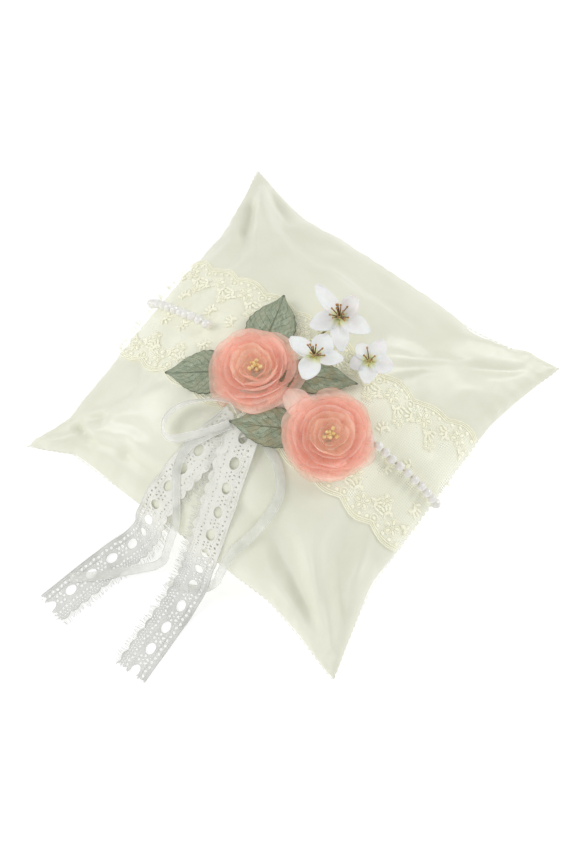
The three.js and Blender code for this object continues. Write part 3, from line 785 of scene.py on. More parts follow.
# Depth of the folds at u, v: pleats run in from the corners, gathers stand along the seam.
def foldDepth(u, v):
    x, y = u * cushion["half"], v * cushion["half"]
    depth = np.zeros_like(x)
    corners = ((-1, -1, 0.4, 1.0), (1, -1, 2.1, 0.9), (1, 1, 3.3, 0.7), (-1, 1, 5.0, 0.75))
    for signX, signY, phase, strength in corners:
        awayX = signX * cushion["half"] * 1.02 - x
        awayY = signY * cushion["half"] * 1.02 - y
        away = np.hypot(awayX, awayY)
        angle = np.arctan2(awayY * signY, awayX * signX)
        spread = angle + 0.25 * np.sin(away * 45 + phase * 2)
        ridge = 0.9 - 1.8 * np.abs(np.sin(spread * 3.6 + phase)) ** 1.1
        fine = 0.3 * np.sin(spread * 13 + phase * 3 + away * 40)
        window = smoothStep(away, 0.01, 0.04) * (1 - smoothStep(away, 0.04, 0.1))
        depth += strength * cushion["pleat"] * window * (ridge + fine)
    for startX, startY, endX, endY, width, height in longFolds:
        start = np.array([startX, startY]) * mm
        run = np.array([endX, endY]) * mm - start
        span = float(np.hypot(*run))
        ahead = ((x - start[0]) * run[0] + (y - start[1]) * run[1]) / span**2
        bow = 0.003 * np.sin(ahead * 5 + startX)
        off = ((x - start[0]) * run[1] - (y - start[1]) * run[0]) / span + bow
        fade = smoothStep(ahead, -0.05, 0.25) * (1 - smoothStep(ahead, 0.45, 1.05))
        wide = width * mm * (0.6 + 0.8 * np.clip(ahead, 0, 1))
        depth += height * mm * 1.5 * fade * np.exp(-((off / wide) ** 2))
    for near, along in ((np.abs(u), y), (np.abs(v), x)):
        inward = (1 - near) * cushion["half"]
        beat = np.sin(along * 520 + 3 * np.sin(along * 95)) + 0.7 * np.sin(along * 850 + 2 * np.sin(along * 60 + 1))
        depth += cushion["pucker"] * 0.6 * beat * np.exp(-inward / 0.0075) * smoothStep(inward, 0, 0.002)
    swell = np.sin(x * 46 + 1.3 * np.sin(y * 31 + 0.5)) * np.sin(y * 38 + 1.1 * np.sin(x * 27 + 2.0))
    fall = (1 - u**6) * (1 - v**6)
    sideBand = smoothStep(np.abs(u), 0.35, 0.75)
    depth += cushion["wave"] * swell * fall * (0.35 + 0.65 * sideBand)
    return depth


def makeCushionMesh(cells):
    steps = np.linspace(-1, 1, cells + 1)
    spread = 0.2 * steps + 0.8 * np.sin(steps * math.pi / 2)
    points, faces, index, rim = [], [], {}, []

    def corner(i, j, side):
        onRim = i in (0, cells) or j in (0, cells)
        key = (i, j, 0 if onRim else side)
        if key not in index:
            index[key] = len(points)
            points.append((spread[i], spread[j], side))
            if onRim:
                rim.append(index[key])
        return index[key]

    for side in (0, 1):
        for i in range(cells):
            for j in range(cells):
                loop = [corner(i, j, side), corner(i + 1, j, side), corner(i + 1, j + 1, side), corner(i, j + 1, side)]
                faces.append(loop if side == 0 else loop[::-1])
    grid = np.array(points)
    u, v = grid[:, 0], grid[:, 1]
    front = skinPoint(u, v, cushion["crown"])
    back = skinPoint(u, v, -cushion["belly"])
    base = np.where(grid[:, 2:] == 0, front, back)
    return base, faces, rim, u, v, grid[:, 2]


def simulateCloth(piece, rim):
    pins = piece.vertex_groups.new(name="seam")
    pins.add(rim, 1.0, "REPLACE")
    cloth = piece.modifiers.new("cloth", "CLOTH")
    rules = cloth.settings
    rules.quality = 8
    rules.mass = 0.15
    rules.tension_stiffness = 25
    rules.compression_stiffness = 25
    rules.shear_stiffness = 10
    rules.bending_stiffness = 0.05
    rules.air_damping = 2
    rules.vertex_group_mass = "seam"
    rules.shrink_min = -cushion["growth"]
    rules.use_pressure = True
    rules.uniform_pressure_force = cushion["pressure"]
    rules.effector_weights.gravity = 0
    cloth.collision_settings.use_collision = False
    cloth.point_cache.frame_start = 1
    cloth.point_cache.frame_end = 20
    for number in range(1, 21):
        scene.frame_set(number)
    graph = bpy.context.evaluated_depsgraph_get()
    settled = piece.evaluated_get(graph).data
    moved = np.array([p.co for p in settled.vertices])
    piece.modifiers.clear()
    piece.vertex_groups.clear()
    scene.frame_set(1)
    return moved


def makeCushion():
    base, faces, rim, u, v, side = makeCushionMesh(cushion["cells"])
    piece = newMesh("cushionCover", base, faces, satin)
    moved = base.copy()
    moved = simulateCloth(piece, rim)
    print("cushion cloth settled")
    normals = np.zeros(len(base) * 3)
    piece.data.vertices.foreach_get("normal", normals)
    normals = normals.reshape(-1, 3)
    swell = ((moved - base) * normals).sum(axis=1)
    swell = np.where(swell > 0, cushion["mostOut"] * np.tanh(swell / cushion["mostOut"]), swell)
    swell = np.where(swell < 0, cushion["mostIn"] * np.tanh(swell / cushion["mostIn"]), swell)
    edge = (1 - np.abs(u) ** 14) * (1 - np.abs(v) ** 14)
    shaped = base + normals * (swell * edge)[:, None]
    share = np.where(side == 0, 1.0, 0.7)[:, None]
    shaped = shaped + normals * foldDepth(u, v)[:, None] * share
    shaped[:, 2] = np.maximum(shaped[:, 2], 0.0)
    piece.data.vertices.foreach_set("co", shaped.ravel())
    piece.data.update()
    smoother = piece.modifiers.new("smooth", "SUBSURF")
    smoother.levels = 1
    smoother.render_levels = 1
    applyModifiers(piece)
    settle(piece, "satin", "cover_front_panel", "cover_back_panel")
    return piece


# Heights of the cushion's front on a square grid, as it really lies once it has settled.
layerMap = dict(step=0.001, edge=0.104)


def makeLayerMap(piece):
    graph = bpy.context.evaluated_depsgraph_get()
    tree = BVHTree.FromObject(piece, graph)
    edge, step = layerMap["edge"], layerMap["step"]
    ticks = np.arange(-edge, edge + step / 2, step)
    heights = np.full((len(ticks), len(ticks)), np.nan)
    for i, x in enumerate(ticks):
        for j, y in enumerate(ticks):
            hit = tree.ray_cast(Vector((x, y, 0.2)), Vector((0, 0, -1)))[0]
            if hit is not None:
                heights[i, j] = hit.z
    filled = np.where(np.isnan(heights), 0.0, heights)
    known = (~np.isnan(heights)).astype(float)
    for _ in range(10):
        totals = np.zeros_like(filled)
        counts = np.zeros_like(filled)
        for di in (-1, 0, 1):
            for dj in (-1, 0, 1):
                totals += np.roll(filled * known, (di, dj), (0, 1))
                counts += np.roll(known, (di, dj), (0, 1))
        spread = totals / np.maximum(counts, 1e-9)
        filled = np.where(known > 0, filled, spread)
        known = np.where(counts > 0, 1.0, known)
    smooth = filled.copy()
    for _ in range(3):
        smooth = sum(np.roll(smooth, (di, dj), (0, 1)) for di in (-1, 0, 1) for dj in (-1, 0, 1)) / 9
    layerMap["raw"] = filled
    layerMap["smooth"] = np.maximum(smooth, filled)
    layerMap["slope"] = smooth


def readMap(name, x, y):
    grid = layerMap[name]
    i = np.clip((x + layerMap["edge"]) / layerMap["step"], 0, len(grid) - 1.001)
    j = np.clip((y + layerMap["edge"]) / layerMap["step"], 0, len(grid) - 1.001)
    i0, j0 = i.astype(int), j.astype(int)
    fi, fj = i - i0, j - j0
    low = grid[i0, j0] * (1 - fj) + grid[i0, j0 + 1] * fj
    high = grid[i0 + 1, j0] * (1 - fj) + grid[i0 + 1, j0 + 1] * fj
    return low * (1 - fi) + high * fi


def skinNormal(x, y):
    d = 0.0025
    slopeX = (readMap("slope", x + d, y) - readMap("slope", x - d, y)) / (2 * d)
    slopeY = (readMap("slope", x, y + d) - readMap("slope", x, y - d)) / (2 * d)
    return unit(np.stack([-slopeX, -slopeY, np.ones_like(slopeX)], axis=-1))


# Points that lie over x, y on the cushion, lifted off it.
def layOn(x, y, lift, source="raw"):
    x, y = np.broadcast_arrays(np.asarray(x, dtype=float), np.asarray(y, dtype=float))
    z = readMap(source, x, y)
    normal = skinNormal(x, y)
    return np.stack([x, y, z], axis=-1) + normal * np.asarray(lift)[..., None]


setCamera()
setLight()
cushionCover = makeCushion()
makeLayerMap(cushionCover)
print("cushion made")


def makeSeamStitches():
    line = []
    for corner in range(4):
        for t in np.linspace(-1, 1, 90, endpoint=False):
            u, v = ((t, -1), (1, t), (-t, 1), (-1, -t))[corner]
            line.append(skinPoint(np.array(u * 0.9985), np.array(v * 0.9985), 0.0))
    line = smoothLine(line + [line[0]], 1100)
    parts = []
    for i in range(0, len(line) - 4, 4):
        stitch = line[i : i + 4].copy()
        outward = unit(stitch * np.array([1, 1, 0]))
        stitch += outward * np.array([-0.1, 0.2, 0.2, -0.1])[:, None] * mm
        parts.append(tubeCells(stitch, 0.17 * mm, 5))
    piece = pieceOf("seamStitches", parts, seamThread)
    settle(piece, "satin")


def makeWadding():
    share = 0.53

    def place(top):
        def cell(a, b):
            s, t = a * share, (2 * b - 1) * share
            u, v = np.sin(s * math.pi / 2), np.sin(t * math.pi / 2)
            rise = cushion["crown"] - 0.013 if top else 0.009 - cushion["belly"]
            p = skinPoint(u, v, rise)
            lump = 0.0009 * np.sin(u * 31 + 2 * np.sin(v * 17)) * np.sin(v * 29 + 2 * np.sin(u * 13))
            p[..., 2] += lump
            p[..., 2] = np.maximum(p[..., 2], 0.0022)
            return p

        return cell

    parts = [sheetCells(60, 60, place(top), 0.16, 0.16) for top in (True, False)]
    settle(pieceOf("fibreWad", parts, wadding), "wadding", "fibre_filling")


makeSeamStitches()
makeWadding()


# ---- the sash: net, and the cord embroidered on it

sash = dict(front=-0.0345, back=0.0315, flare=0.0085, scallops=10, scallopDepth=0.0026, end=0.0888, lift=0.00045)


def sashEdges(x):
    wave = sash["scallopDepth"] * np.abs(np.sin((x / sash["end"] + 1) / 2 * math.pi * sash["scallops"]))
    flare = sash["flare"] * smoothStep(x, 0.05, 0.088)
    low = sash["front"] + sash["scallopDepth"] - wave
    high = sash["back"] - sash["scallopDepth"] + wave + flare
    return low, high


def makeNetBand():
    def place(a, b):
        x = a * sash["end"] * (1 - 0.0003 * np.sin(b * 60))
        low, high = sashEdges(x)
        y = low + (high - low) * b
        ripple = 0.0001 * (1 + np.sin(x * 210 + 4 * b) * np.sin(y * 260 + 1.0))
        return layOn(x, y, sash["lift"] + ripple, "smooth")

    piece = pieceOf("sashNet", [sheetCells(170, 70, place, 0.2, 0.068)], net)
    settle(piece, "sash_lace", "lace_sash")
    return piece


stitching = dict(cord=0.00026, fine=0.0002, lift=0.00058)


def cordOn(points, radius, closed=False, lift=None):
    p = np.asarray(points, dtype=float)
    ground = layOn(p[:, 0], p[:, 1], np.full(len(p), stitching["lift"] if lift is None else lift), "smooth")
    return tubeCells(ground, radius, 5, not closed, closed)


# A filled satin-stitch shape: a low raised pad inside a closed outline.
def padOn(outline, height=0.0004):
    p = np.asarray(outline, dtype=float)
    middle = p.mean(axis=0)
    rings, levels = [], []
    for share, level in ((1.0, 0.0), (0.8, 0.8), (0.4, 1.0)):
        ring = middle + (p - middle) * share
        rings.append(ring)
        levels += [level] * len(ring)
    flat = np.concatenate(rings + [middle[None, :]])
    levels = np.array(levels + [1.0])
    points = layOn(flat[:, 0], flat[:, 1], stitching["lift"] - 0.0002 + levels * height, "smooth")
    n = len(p)
    faces = []
    for k in range(2):
        for i in range(n):
            j = (i + 1) % n
            faces.append((k * n + i, k * n + j, (k + 1) * n + j, (k + 1) * n + i))
    for i in range(n):
        faces.append((2 * n + i, 2 * n + (i + 1) % n, 3 * n))
    return points, faces, flat / mm, np.zeros((len(points), 2))


def loopOutline(x, y, radiusLong, radiusShort, angle, count=14, pinch=0.0):
    t = np.linspace(0, 2 * math.pi, count, endpoint=False)
    along = radiusLong * np.cos(t)
    across = radiusShort * np.sin(t) * (1 - pinch * np.cos(t))
    c, s = math.cos(angle), math.sin(angle)
    return np.stack([x + along * c - across * s, y + along * s + across * c], axis=1)


def flowerCords(x, y, size, turn, petals=5):
    cords, pads = [], []
    for k in range(petals):
        angle = turn + 2 * math.pi * k / petals
        cx, cy = x + size * 0.62 * math.cos(angle), y + size * 0.62 * math.sin(angle)
        outline = loopOutline(cx, cy, size * 0.5, size * 0.34, angle, 14, -0.25)
        cords.append((outline, stitching["fine"], True))
        pads.append(loopOutline(cx + size * 0.05 * math.cos(angle), cy + size * 0.05 * math.sin(angle), size * 0.36, size * 0.2, angle, 10))
    cords.append((loopOutline(x, y, size * 0.17, size * 0.17, 0, 8), stitching["cord"], True))
    return cords, pads


def sprayCords(x, y, turn, size, mirror):
    cords, pads = [], []
    t = np.linspace(0, 1, 16)
    angle = turn + mirror * t * 2.4
    radius = size * (1 - 0.45 * t)
    line = np.stack([x + np.cumsum(np.cos(angle)) * radius / 9, y + np.cumsum(np.sin(angle)) * radius / 9], axis=1)
    cords.append((line, stitching["cord"], False))
    for k in (3, 6, 9, 12):
        for side in (-1, 1):
            lean = angle[k] + side * 0.95
            cx, cy = line[k] + np.array([math.cos(lean), math.sin(lean)]) * 0.0016
            pads.append(loopOutline(cx, cy, 0.0014, 0.0006, lean, 9))
    cords.append((loopOutline(line[-1][0], line[-1][1], 0.0011, 0.0011, 0, 9), stitching["fine"], True))
    return cords, pads


def makeEmbroidery():
    pick = random.Random(5)
    cords, pads = [], []
    xs = np.linspace(-sash["end"] * 0.985, sash["end"] * 0.985, 420)
    low, high = sashEdges(xs)
    for edge, inward in ((low, 1), (high, -1)):
        for offset, size in ((0.0002, stitching["cord"]), (0.0011, stitching["fine"]), (0.0021, stitching["cord"])):
            cords.append((np.stack([xs, edge + inward * offset], axis=1), size, False))
    pitch = 2 * sash["end"] / sash["scallops"]
    for k in range(sash["scallops"]):
        middle = -sash["end"] + (k + 0.5) * pitch
        for row in (0, 1):
            inward = 1 if row == 0 else -1
            edge = sashEdges(np.array([middle]))[row][0]
            for step in (-0.32, -0.11, 0.11, 0.32):
                x = middle + step * pitch
                y = sashEdges(np.array([x]))[row][0] + inward * 0.0036
                pads.append(loopOutline(x, y, 0.00085, 0.00085, 0, 9))
            found = flowerCords(middle, edge + inward * 0.0088, 0.0036, pick.uniform(0, 1.2))
            cords += found[0]
            pads += found[1]
            for mirror in (-1, 1):
                startX = middle + mirror * 0.0042
                startY = edge + inward * 0.0092
                heading = 0.35 * inward if mirror > 0 else math.pi - 0.35 * inward
                found = sprayCords(startX, startY, heading, 0.0052, mirror * inward)
                cords += found[0]
                pads += found[1]
            joint = middle + pitch / 2
            cords.append((loopOutline(joint, edge + inward * 0.0062, 0.0019, 0.0019, 0, 14), stitching["fine"], True))
            pads.append(loopOutline(joint, edge + inward * 0.0062, 0.0008, 0.0008, 0, 8))
            found = flowerCords(joint, edge + inward * 0.0165, 0.0028, pick.uniform(0, 1.2))
            cords += found[0]
            pads += found[1]
        for row in (0, 1):
            y = (0.0045 if row else -0.0085) + pick.uniform(-0.0015, 0.0015)
            x = middle + pick.uniform(-0.003, 0.003) + row * pitch / 2
            if abs(x) > sash["end"] * 0.95:
                continue
            found = sprayCords(x, y, pick.uniform(-0.5, 0.5) + row * math.pi, 0.006, pick.choice((-1, 1)))
            cords += found[0]
            pads += found[1]
    limit = sash["end"] * 0.985
    parts = []
    for line, radius, closed in cords:
        if np.abs(line[:, 0]).max() < limit + 1e-4:
            parts.append(cordOn(line, radius, closed))
    piece = pieceOf("sashCords", parts, creamCord)
    settle(piece, "sash_lace")
    raised = [padOn(outline) for outline in pads if np.abs(outline[:, 0]).max() < limit]
    settle(pieceOf("sashSatinStitch", raised, creamCord), "sash_lace")


# Loose net threads stand out where the sash is caught in a side seam.
def makeSashFray():
    pick = random.Random(9)
    parts = []
    for sign in (-1, 1):
        for _ in range(46):
            low, high = sashEdges(np.array([sign * 0.088]))
            y = pick.uniform(low[0] + 0.001, high[0] - 0.001)
            start = layOn(sign * 0.0872, y, np.array(0.0008), "smooth")
            run = pick.uniform(0.0015, 0.0038)
            away = np.array([sign * run, pick.uniform(-0.4, 0.4) * run, pick.uniform(-0.3, 0.6) * run])
            line = smoothLine([start, start + away * 0.5 + np.array([0, 0, 0.0003]), start + away], 5)
            parts.append(tubeCells(line, 0.00011, 4))
    settle(pieceOf("sashFray", parts, creamCord), "sash_lace")


sashNet = makeNetBand()
makeEmbroidery()
makeSashFray()
print("sash made")


# ---- pearl garlands

garland = dict(bead=0.0048, pitch=0.0051, beads=11, lift=0.0036, thread=0.00035, line=-0.002, inset=0.0033)


def beadCells(centre, radius, turn, squash):
    rings, sides = 12, 20
    points, faces = [], []
    for i in range(rings + 1):
        lean = math.pi * i / rings
        waist = math.sin(lean) * (1 + 0.015 * math.sin(lean * 6))
        for k in range(sides):
            angle = 2 * math.pi * k / sides
            points.append((waist * math.cos(angle), waist * math.sin(angle), math.cos(lean) * squash))
    for i in range(rings):
        for k in range(sides):
            m = (k + 1) % sides
            faces.append((i * sides + k, (i + 1) * sides + k, (i + 1) * sides + m, i * sides + m))
    shape = np.array(points) @ np.array(Matrix.Rotation(turn, 3, "X") @ Matrix.Rotation(turn * 1.7, 3, "Y"))
    points = centre + shape * radius
    share = np.stack([np.zeros(len(points)), (shape[:, 2] + 1) / 2], axis=1)
    return points, faces, shape[:, :2] * 2.4, share


def makeGarland(name, sign, node):
    outerX = abs(middleOf(node)[0]) + 0.5 * (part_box(node)[1][0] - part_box(node)[0][0]) - garland["bead"] / 2 - garland["inset"]
    centres = []
    for s in np.linspace(0, 1, 900):
        x = sign * (outerX - s * outerX)
        p = layOn(x, garland["line"], np.array(garland["lift"]), "smooth")
        if centres and np.linalg.norm(p - centres[-1]) < garland["pitch"]:
            continue
        centres.append(p)
        if len(centres) == garland["beads"]:
            break
    beads = [beadCells(p, garland["bead"] / 2, i * 1.3, 0.97) for i, p in enumerate(centres)]
    pearls = pieceOf(name + "Pearls", beads, pearlCoat)
    settle(pearls, "pearl", node)
    line = smoothLine(centres, len(centres) * 8)
    parts = []
    for phase in (0.0, math.pi):
        twist = np.arange(len(line)) * 0.9 + phase
        offset = np.stack([np.zeros(len(line)), np.cos(twist), np.sin(twist)], axis=1) * garland["thread"]
        parts.append(tubeCells(line + offset, garland["thread"], 5))
    settle(pieceOf(name + "Thread", parts, goldThread), "pearl")


makeGarland("garlandLeft", -1, "bead_garland_left")
makeGarland("garlandRight", 1, "bead_garland_right")
print("garlands made")


# ---- lace and ribbon tails

# Every tail leaves the cushion at the fold line and then runs down to the table. The points repeat
# the frame's own routes, in millimetres. Upper holds x, share of the way to the fold, and lift.
# Lower holds x, distance beyond the fold, share of the drop, and lift.
fold = dict(y=-91.5, z=24.0, gap=1.6, slant=0.72)
tails = {
    "laceLeft": dict(
        start=-31.5,
        foldX=-19,
        upper=[(-6, 0, 1.3), (-10, 0.225, 1.2), (-13.5, 0.475, 0.7), (-16.5, 0.69, 0.6), (-18, 0.84, 0.7), (-18.6, 0.91, 1.1)],
        lower=[(-20, 5.5, 0.42, 0), (-21.5, 9.5, 0.73, 0), (-23.5, 14.5, 1, 2.15), (-26.5, 22.5, 1, 0.75), (-31, 38.5, 1, 0.45), (-37.5, 66, 1, 0.45)],
    ),
    "laceRight": dict(
        start=-31.5,
        foldX=12,
        upper=[(-2, 0, 2.3), (2, 0.225, 2.1), (6, 0.475, 0.9), (9, 0.69, 0.6), (11, 0.84, 0.8), (11.6, 0.91, 1.2)],
        lower=[(12.3, 5.5, 0.37, 0), (12.6, 9.5, 0.63, 0), (12.9, 14.5, 1, 4.85), (13.3, 21.5, 1, 2.15), (13.8, 30.5, 1, 0.85), (15, 66, 1, 0.45)],
    ),
    "ribbonLeft": dict(
        start=-34.5,
        foldX=-6,
        upper=[(-7, 0, 3.38), (-13, 0.165, 3.0), (-19, 0.36, 2.0), (-18, 0.55, 1.7), (-11, 0.73, 1.7), (-6.4, 0.85, 1.7), (-6, 0.915, 1.6)],
        lower=[(-6, 4.5, 0.33, 0), (-6.3, 8, 0.65, 0), (-6.6, 12.5, 1, 2.75), (-10.5, 18.5, 1, 3.45), (-21, 29.5, 1, 2.45), (-32, 40, 1, 1.55), (-41, 47.5, 1, 1.35)],
    ),
    "ribbonRight": dict(
        start=-33,
        foldX=25,
        upper=[(11.5, 0, 1.4), (22, 0.085, 1.4), (30, 0.24, 1.6), (31.5, 0.425, 2.0), (29.5, 0.63, 2.0), (26, 0.8, 1.6), (25.2, 0.905, 1.4)],
        lower=[(24.2, 4, 0.4, 0), (21.5, 7.5, 0.74, 0), (16.5, 12, 1, 1.2), (10, 15.5, 1, 0.4), (1.2, 18, 1, 0.4)],
    ),
}


# The middle line of a tail, its up direction at each point, and the distance run to the fold.
def tailLine(route, count):
    points, ups = [], []
    for x, share, lift in route["upper"]:
        y = route["start"] + (fold["y"] - route["start"]) * share
        p = layOn(x * mm, y * mm, np.array(lift * mm), "smooth")
        points.append(p)
        ups.append(skinNormal(np.array(x * mm), np.array(y * mm)))
    for out in (-fold["gap"] / 2, fold["gap"] / 2):
        points.append(np.array([route["foldX"], fold["y"] - out, fold["z"] - fold["slant"] * out]) * mm)
        ups.append(np.array([0, -0.5, 0.86]))
    atFold = len(points) - 1
    for x, out, fall, lift in route["lower"]:
        points.append(np.array([x, fold["y"] - out, fold["z"] * (1 - fall) + lift]) * mm)
        ups.append(np.array([0, 0, 1.0]))
    points = np.array(points)
    line = smoothLine(points, count)
    run = np.concatenate([[0], np.cumsum(np.linalg.norm(np.diff(points, axis=0), axis=1))])
    where = np.linspace(0, run[-1], count)
    up = unit(np.stack([np.interp(where, run, np.array(ups)[:, k]) for k in range(3)], axis=1))
    return line, up, lengthOf(line[: int(count * run[atFold] / run[-1])])


# Bends flat strip points, in metres across and along, to a tail's line.
def drape(line, up, across, along):
    run = np.concatenate([[0], np.cumsum(np.linalg.norm(np.diff(line, axis=0), axis=1))])
    tangent = unit(np.gradient(line, axis=0))
    side = unit(np.cross(tangent, up))
    middle = np.stack([np.interp(along, run, line[:, k]) for k in range(3)], axis=-1)
    sideways = unit(np.stack([np.interp(along, run, side[:, k]) for k in range(3)], axis=-1))
    upward = unit(np.stack([np.interp(along, run, up[:, k]) for k in range(3)], axis=-1))
    return middle + sideways * across[..., None], upward


# Keeps a strip's points clear of the cushion below them and of the table.
def keepAbove(points, lift, table):
    x, y, z = points[..., 0], points[..., 1], points[..., 2]
    over = smoothStep(y, -0.0885, -0.0862)
    ground = readMap("smooth", x, y) + lift
    z = np.where(over > 0, np.maximum(z, ground * over + z * (1 - over)), z)
    return np.stack([x, y, np.maximum(z, table)], axis=-1)


lace = dict(
    width=18.5,  # millimetres, as are the rest
    cell=0.5,
    pitch=13.0,  # from one large eyelet to the next
    eyelet=(2.3, 3.1),
    rosette=2.15,
    smallHole=0.66,
    netHole=0.42,
    fringe=4.2,
    thickness=0.28,
)


# How far inside the cloth a point of the pattern is: below zero is a hole or outside.
def laceDepth(across, along, length, side, phase):
    w = across * side
    s = along + phase
    scallop = 1.3 * np.abs(np.sin(math.pi * s / (lace["pitch"] / 2)))
    depth = np.minimum(w + 7.3 + scallop, 9.25 - w)
    ragged = 0.8 * np.sin(w * 2.9) + 0.6 * np.sin(w * 5.3 + 1)
    depth = np.minimum(depth, length - 1.2 + ragged - along)
    depth = np.minimum(depth, along)
    offCushion = 0.6 + 0.4 * smoothStep(along, 45, 80)  # pressed flat on the cushion, the small holes close up
    k = np.round(s / lace["pitch"])
    big = s - k * lace["pitch"]
    shortAxis, longAxis = lace["eyelet"]
    oval = np.hypot((w - 1.6) / shortAxis, big / longAxis)
    depth = np.minimum(depth, (oval - 1) * shortAxis)
    half = s - (np.floor(s / lace["pitch"]) + 0.5) * lace["pitch"]
    for i in range(6):
        angle = math.pi * (i + 0.5) / 3
        hole = np.hypot(w - 1.6 - lace["rosette"] * math.cos(angle), half - lace["rosette"] * math.sin(angle))
        depth = np.minimum(depth, hole - lace["smallHole"] * offCushion)
    depth = np.minimum(depth, np.hypot(w - 1.6, half) - lace["smallHole"] * 0.7)
    for level, pitch, size in ((6.4, 2.6, 0.75), (-3.6, 2.167, 0.62)):
        near = s - np.round(s / pitch) * pitch
        depth = np.minimum(depth, np.hypot(w - level - 0.4 * np.sin(s * 0.97), near) - size * offCushion)
    for level, offset in ((-5.4, 0.0), (-6.7, 0.8)):
        near = s + offset - np.round((s + offset) / 1.6) * 1.6
        depth = np.minimum(depth, np.hypot(w - level, near) - lace["netHole"] * offCushion)
    for level in (4.4,):
        near = s - np.round(s / 1.5) * 1.5
        ring = np.hypot(w - level, near) - lace["netHole"] * 0.9 * offCushion
        depth = np.where(oval > 1.35, np.minimum(depth, ring), depth)
    return depth


# Cuts the pattern out of a grid of cells: each cell keeps the part where the depth is above zero.
def cutLace(length, side, phase):
    cell = lace["cell"]
    ws = np.arange(-lace["width"] / 2, lace["width"] / 2 + cell / 2, cell)
    ss = np.arange(0, length + cell / 2, cell)
    depth = laceDepth(ws[:, None], ss[None, :], length, side, phase)
    points, index, faces = [], {}, []

    def add(key, w, s):
        if key not in index:
            index[key] = len(points)
            points.append((w, s))
        return index[key]

    for i in range(len(ws) - 1):
        for j in range(len(ss) - 1):
            corners = ((i, j), (i + 1, j), (i + 1, j + 1), (i, j + 1))
            values = [depth[c] for c in corners]
            if max(values) <= 0:
                continue
            loop = []
            for k in range(4):
                a, b = corners[k], corners[(k + 1) % 4]
                va, vb = values[k], values[(k + 1) % 4]
                if va > 0:
                    loop.append(add(a, ws[a[0]], ss[a[1]]))
                if (va > 0) != (vb > 0):
                    t = va / (va - vb)
                    key = (min(a, b), max(a, b))
                    loop.append(add(key, ws[a[0]] + (ws[b[0]] - ws[a[0]]) * t, ss[a[1]] + (ss[b[1]] - ss[a[1]]) * t))
            if len(loop) > 2:
                faces.append(tuple(loop))
    return np.array(points), faces


def makeLaceTail(name, key, side, nodes, lift, phase):
    route = tails[key]
    line, up, toFold = tailLine(route, 90)
    length = lengthOf(line) / mm
    flat, faces = cutLace(length, side, phase)
    across, along = flat[:, 0] * mm, flat[:, 1] * mm
    points, upward = drape(line, up, across, along)
    crinkled = 0.00035 * np.sin(along * 330 + across * 180) + 0.0002 * np.sin(across * 600 + along * 90)
    curl = 0.0007 * smoothStep(across * side, -0.006, -0.0095) * (1 + np.sin(along * 480))
    points = keepAbove(points + upward * (crinkled + np.abs(curl))[:, None], lift * mm, 0.00055)
    share = np.stack([flat[:, 0] / (lace["width"] / 2), flat[:, 1] / length], axis=1)
    piece = newMesh(name, points, faces, laceCotton, flat=flat, share=share)
    shell = piece.modifiers.new("thickness", "SOLIDIFY")
    shell.thickness = lace["thickness"] * mm
    shell.offset = 0
    applyModifiers(piece)
    # scalloped edge threads and its lashes
    parts = []
    pick = random.Random(int(phase * 10) + 3)
    s = 0.6
    while s < length - 1.5:
        edge = -7.3 - 1.3 * abs(math.sin(math.pi * (s + phase) / (lace["pitch"] / 2)))
        run = lace["fringe"] * pick.uniform(0.55, 1.0)
        lean = pick.uniform(-0.9, 1.6)
        spots = np.array([(edge + 0.6, s), (edge - run * 0.5, s + lean * 0.35), (edge - run, s + lean)])
        p, upAt = drape(line, up, spots[:, 0] * side * mm, np.clip(spots[:, 1], 0, length) * mm)
        p = keepAbove(p + upAt * np.array([0.1, 0.5, 0.2])[:, None] * mm, lift * mm, 0.00035)
        parts.append(tubeCells(smoothLine(p, 5), 0.00011, 4))
        s += pick.uniform(0.55, 0.95)
    for level, size in ((-7.0, 0.2), (8.9, 0.24), (7.7, 0.16), (5.2, 0.16)):
        ss = np.arange(0.5, length - 1.6, 0.9)
        wave = 1.15 * np.abs(np.sin(math.pi * (ss + phase) / (lace["pitch"] / 2))) if level < 0 else 0
        p, upAt = drape(line, up, (level - wave) * side * mm + ss * 0, ss * mm)
        p = keepAbove(p + upAt * 0.0002, (lift + 0.2) * mm, 0.0008)
        parts.append(tubeCells(p, size * mm, 5))
    fringe = pieceOf(name + "Threads", parts, laceCotton)
    for each in (piece, fringe):
        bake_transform(each)
    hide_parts(*nodes)
    return piece


ribbon = dict(width=0.0046, thickness=0.00028)


# A thin closed strip with a slight crown, bent to a line.
def ribbonCells(line, up, width, thickness, wave=0.0, ripple=9.0):
    length = lengthOf(line)
    count = len(line)
    ws = np.array([-1, -0.93, -0.5, 0, 0.5, 0.93, 1])
    run = np.linspace(0, length, count)
    rows = []
    for side in (1, -1):
        order = ws if side > 0 else ws[::-1]
        for w in order:
            p, upward = drape(line, up, np.full(count, w * width / 2), run)
            crown = (1 - w * w) * 0.0002 + wave * np.sin(run * ripple * 60 + w * 0.8) * 0.5
            rows.append(p + upward * (crown + side * thickness / 2)[:, None])
    points = np.stack(rows, axis=1).reshape(-1, 3)
    n = len(rows)
    faces = []
    for i in range(count - 1):
        for k in range(n):
            m = (k + 1) % n
            faces.append((i * n + k, i * n + m, (i + 1) * n + m, (i + 1) * n + k))
    faces.append(tuple(range(n))[::-1])
    faces.append(tuple((count - 1) * n + k for k in range(n)))
    across = np.tile(np.concatenate([ws, ws[::-1]]), count)
    along = np.repeat(run, n)
    flat = np.stack([across * width / 2 / mm, along / mm], axis=1)
    share = np.stack([across, along / length], axis=1)
    return points, faces, flat, share


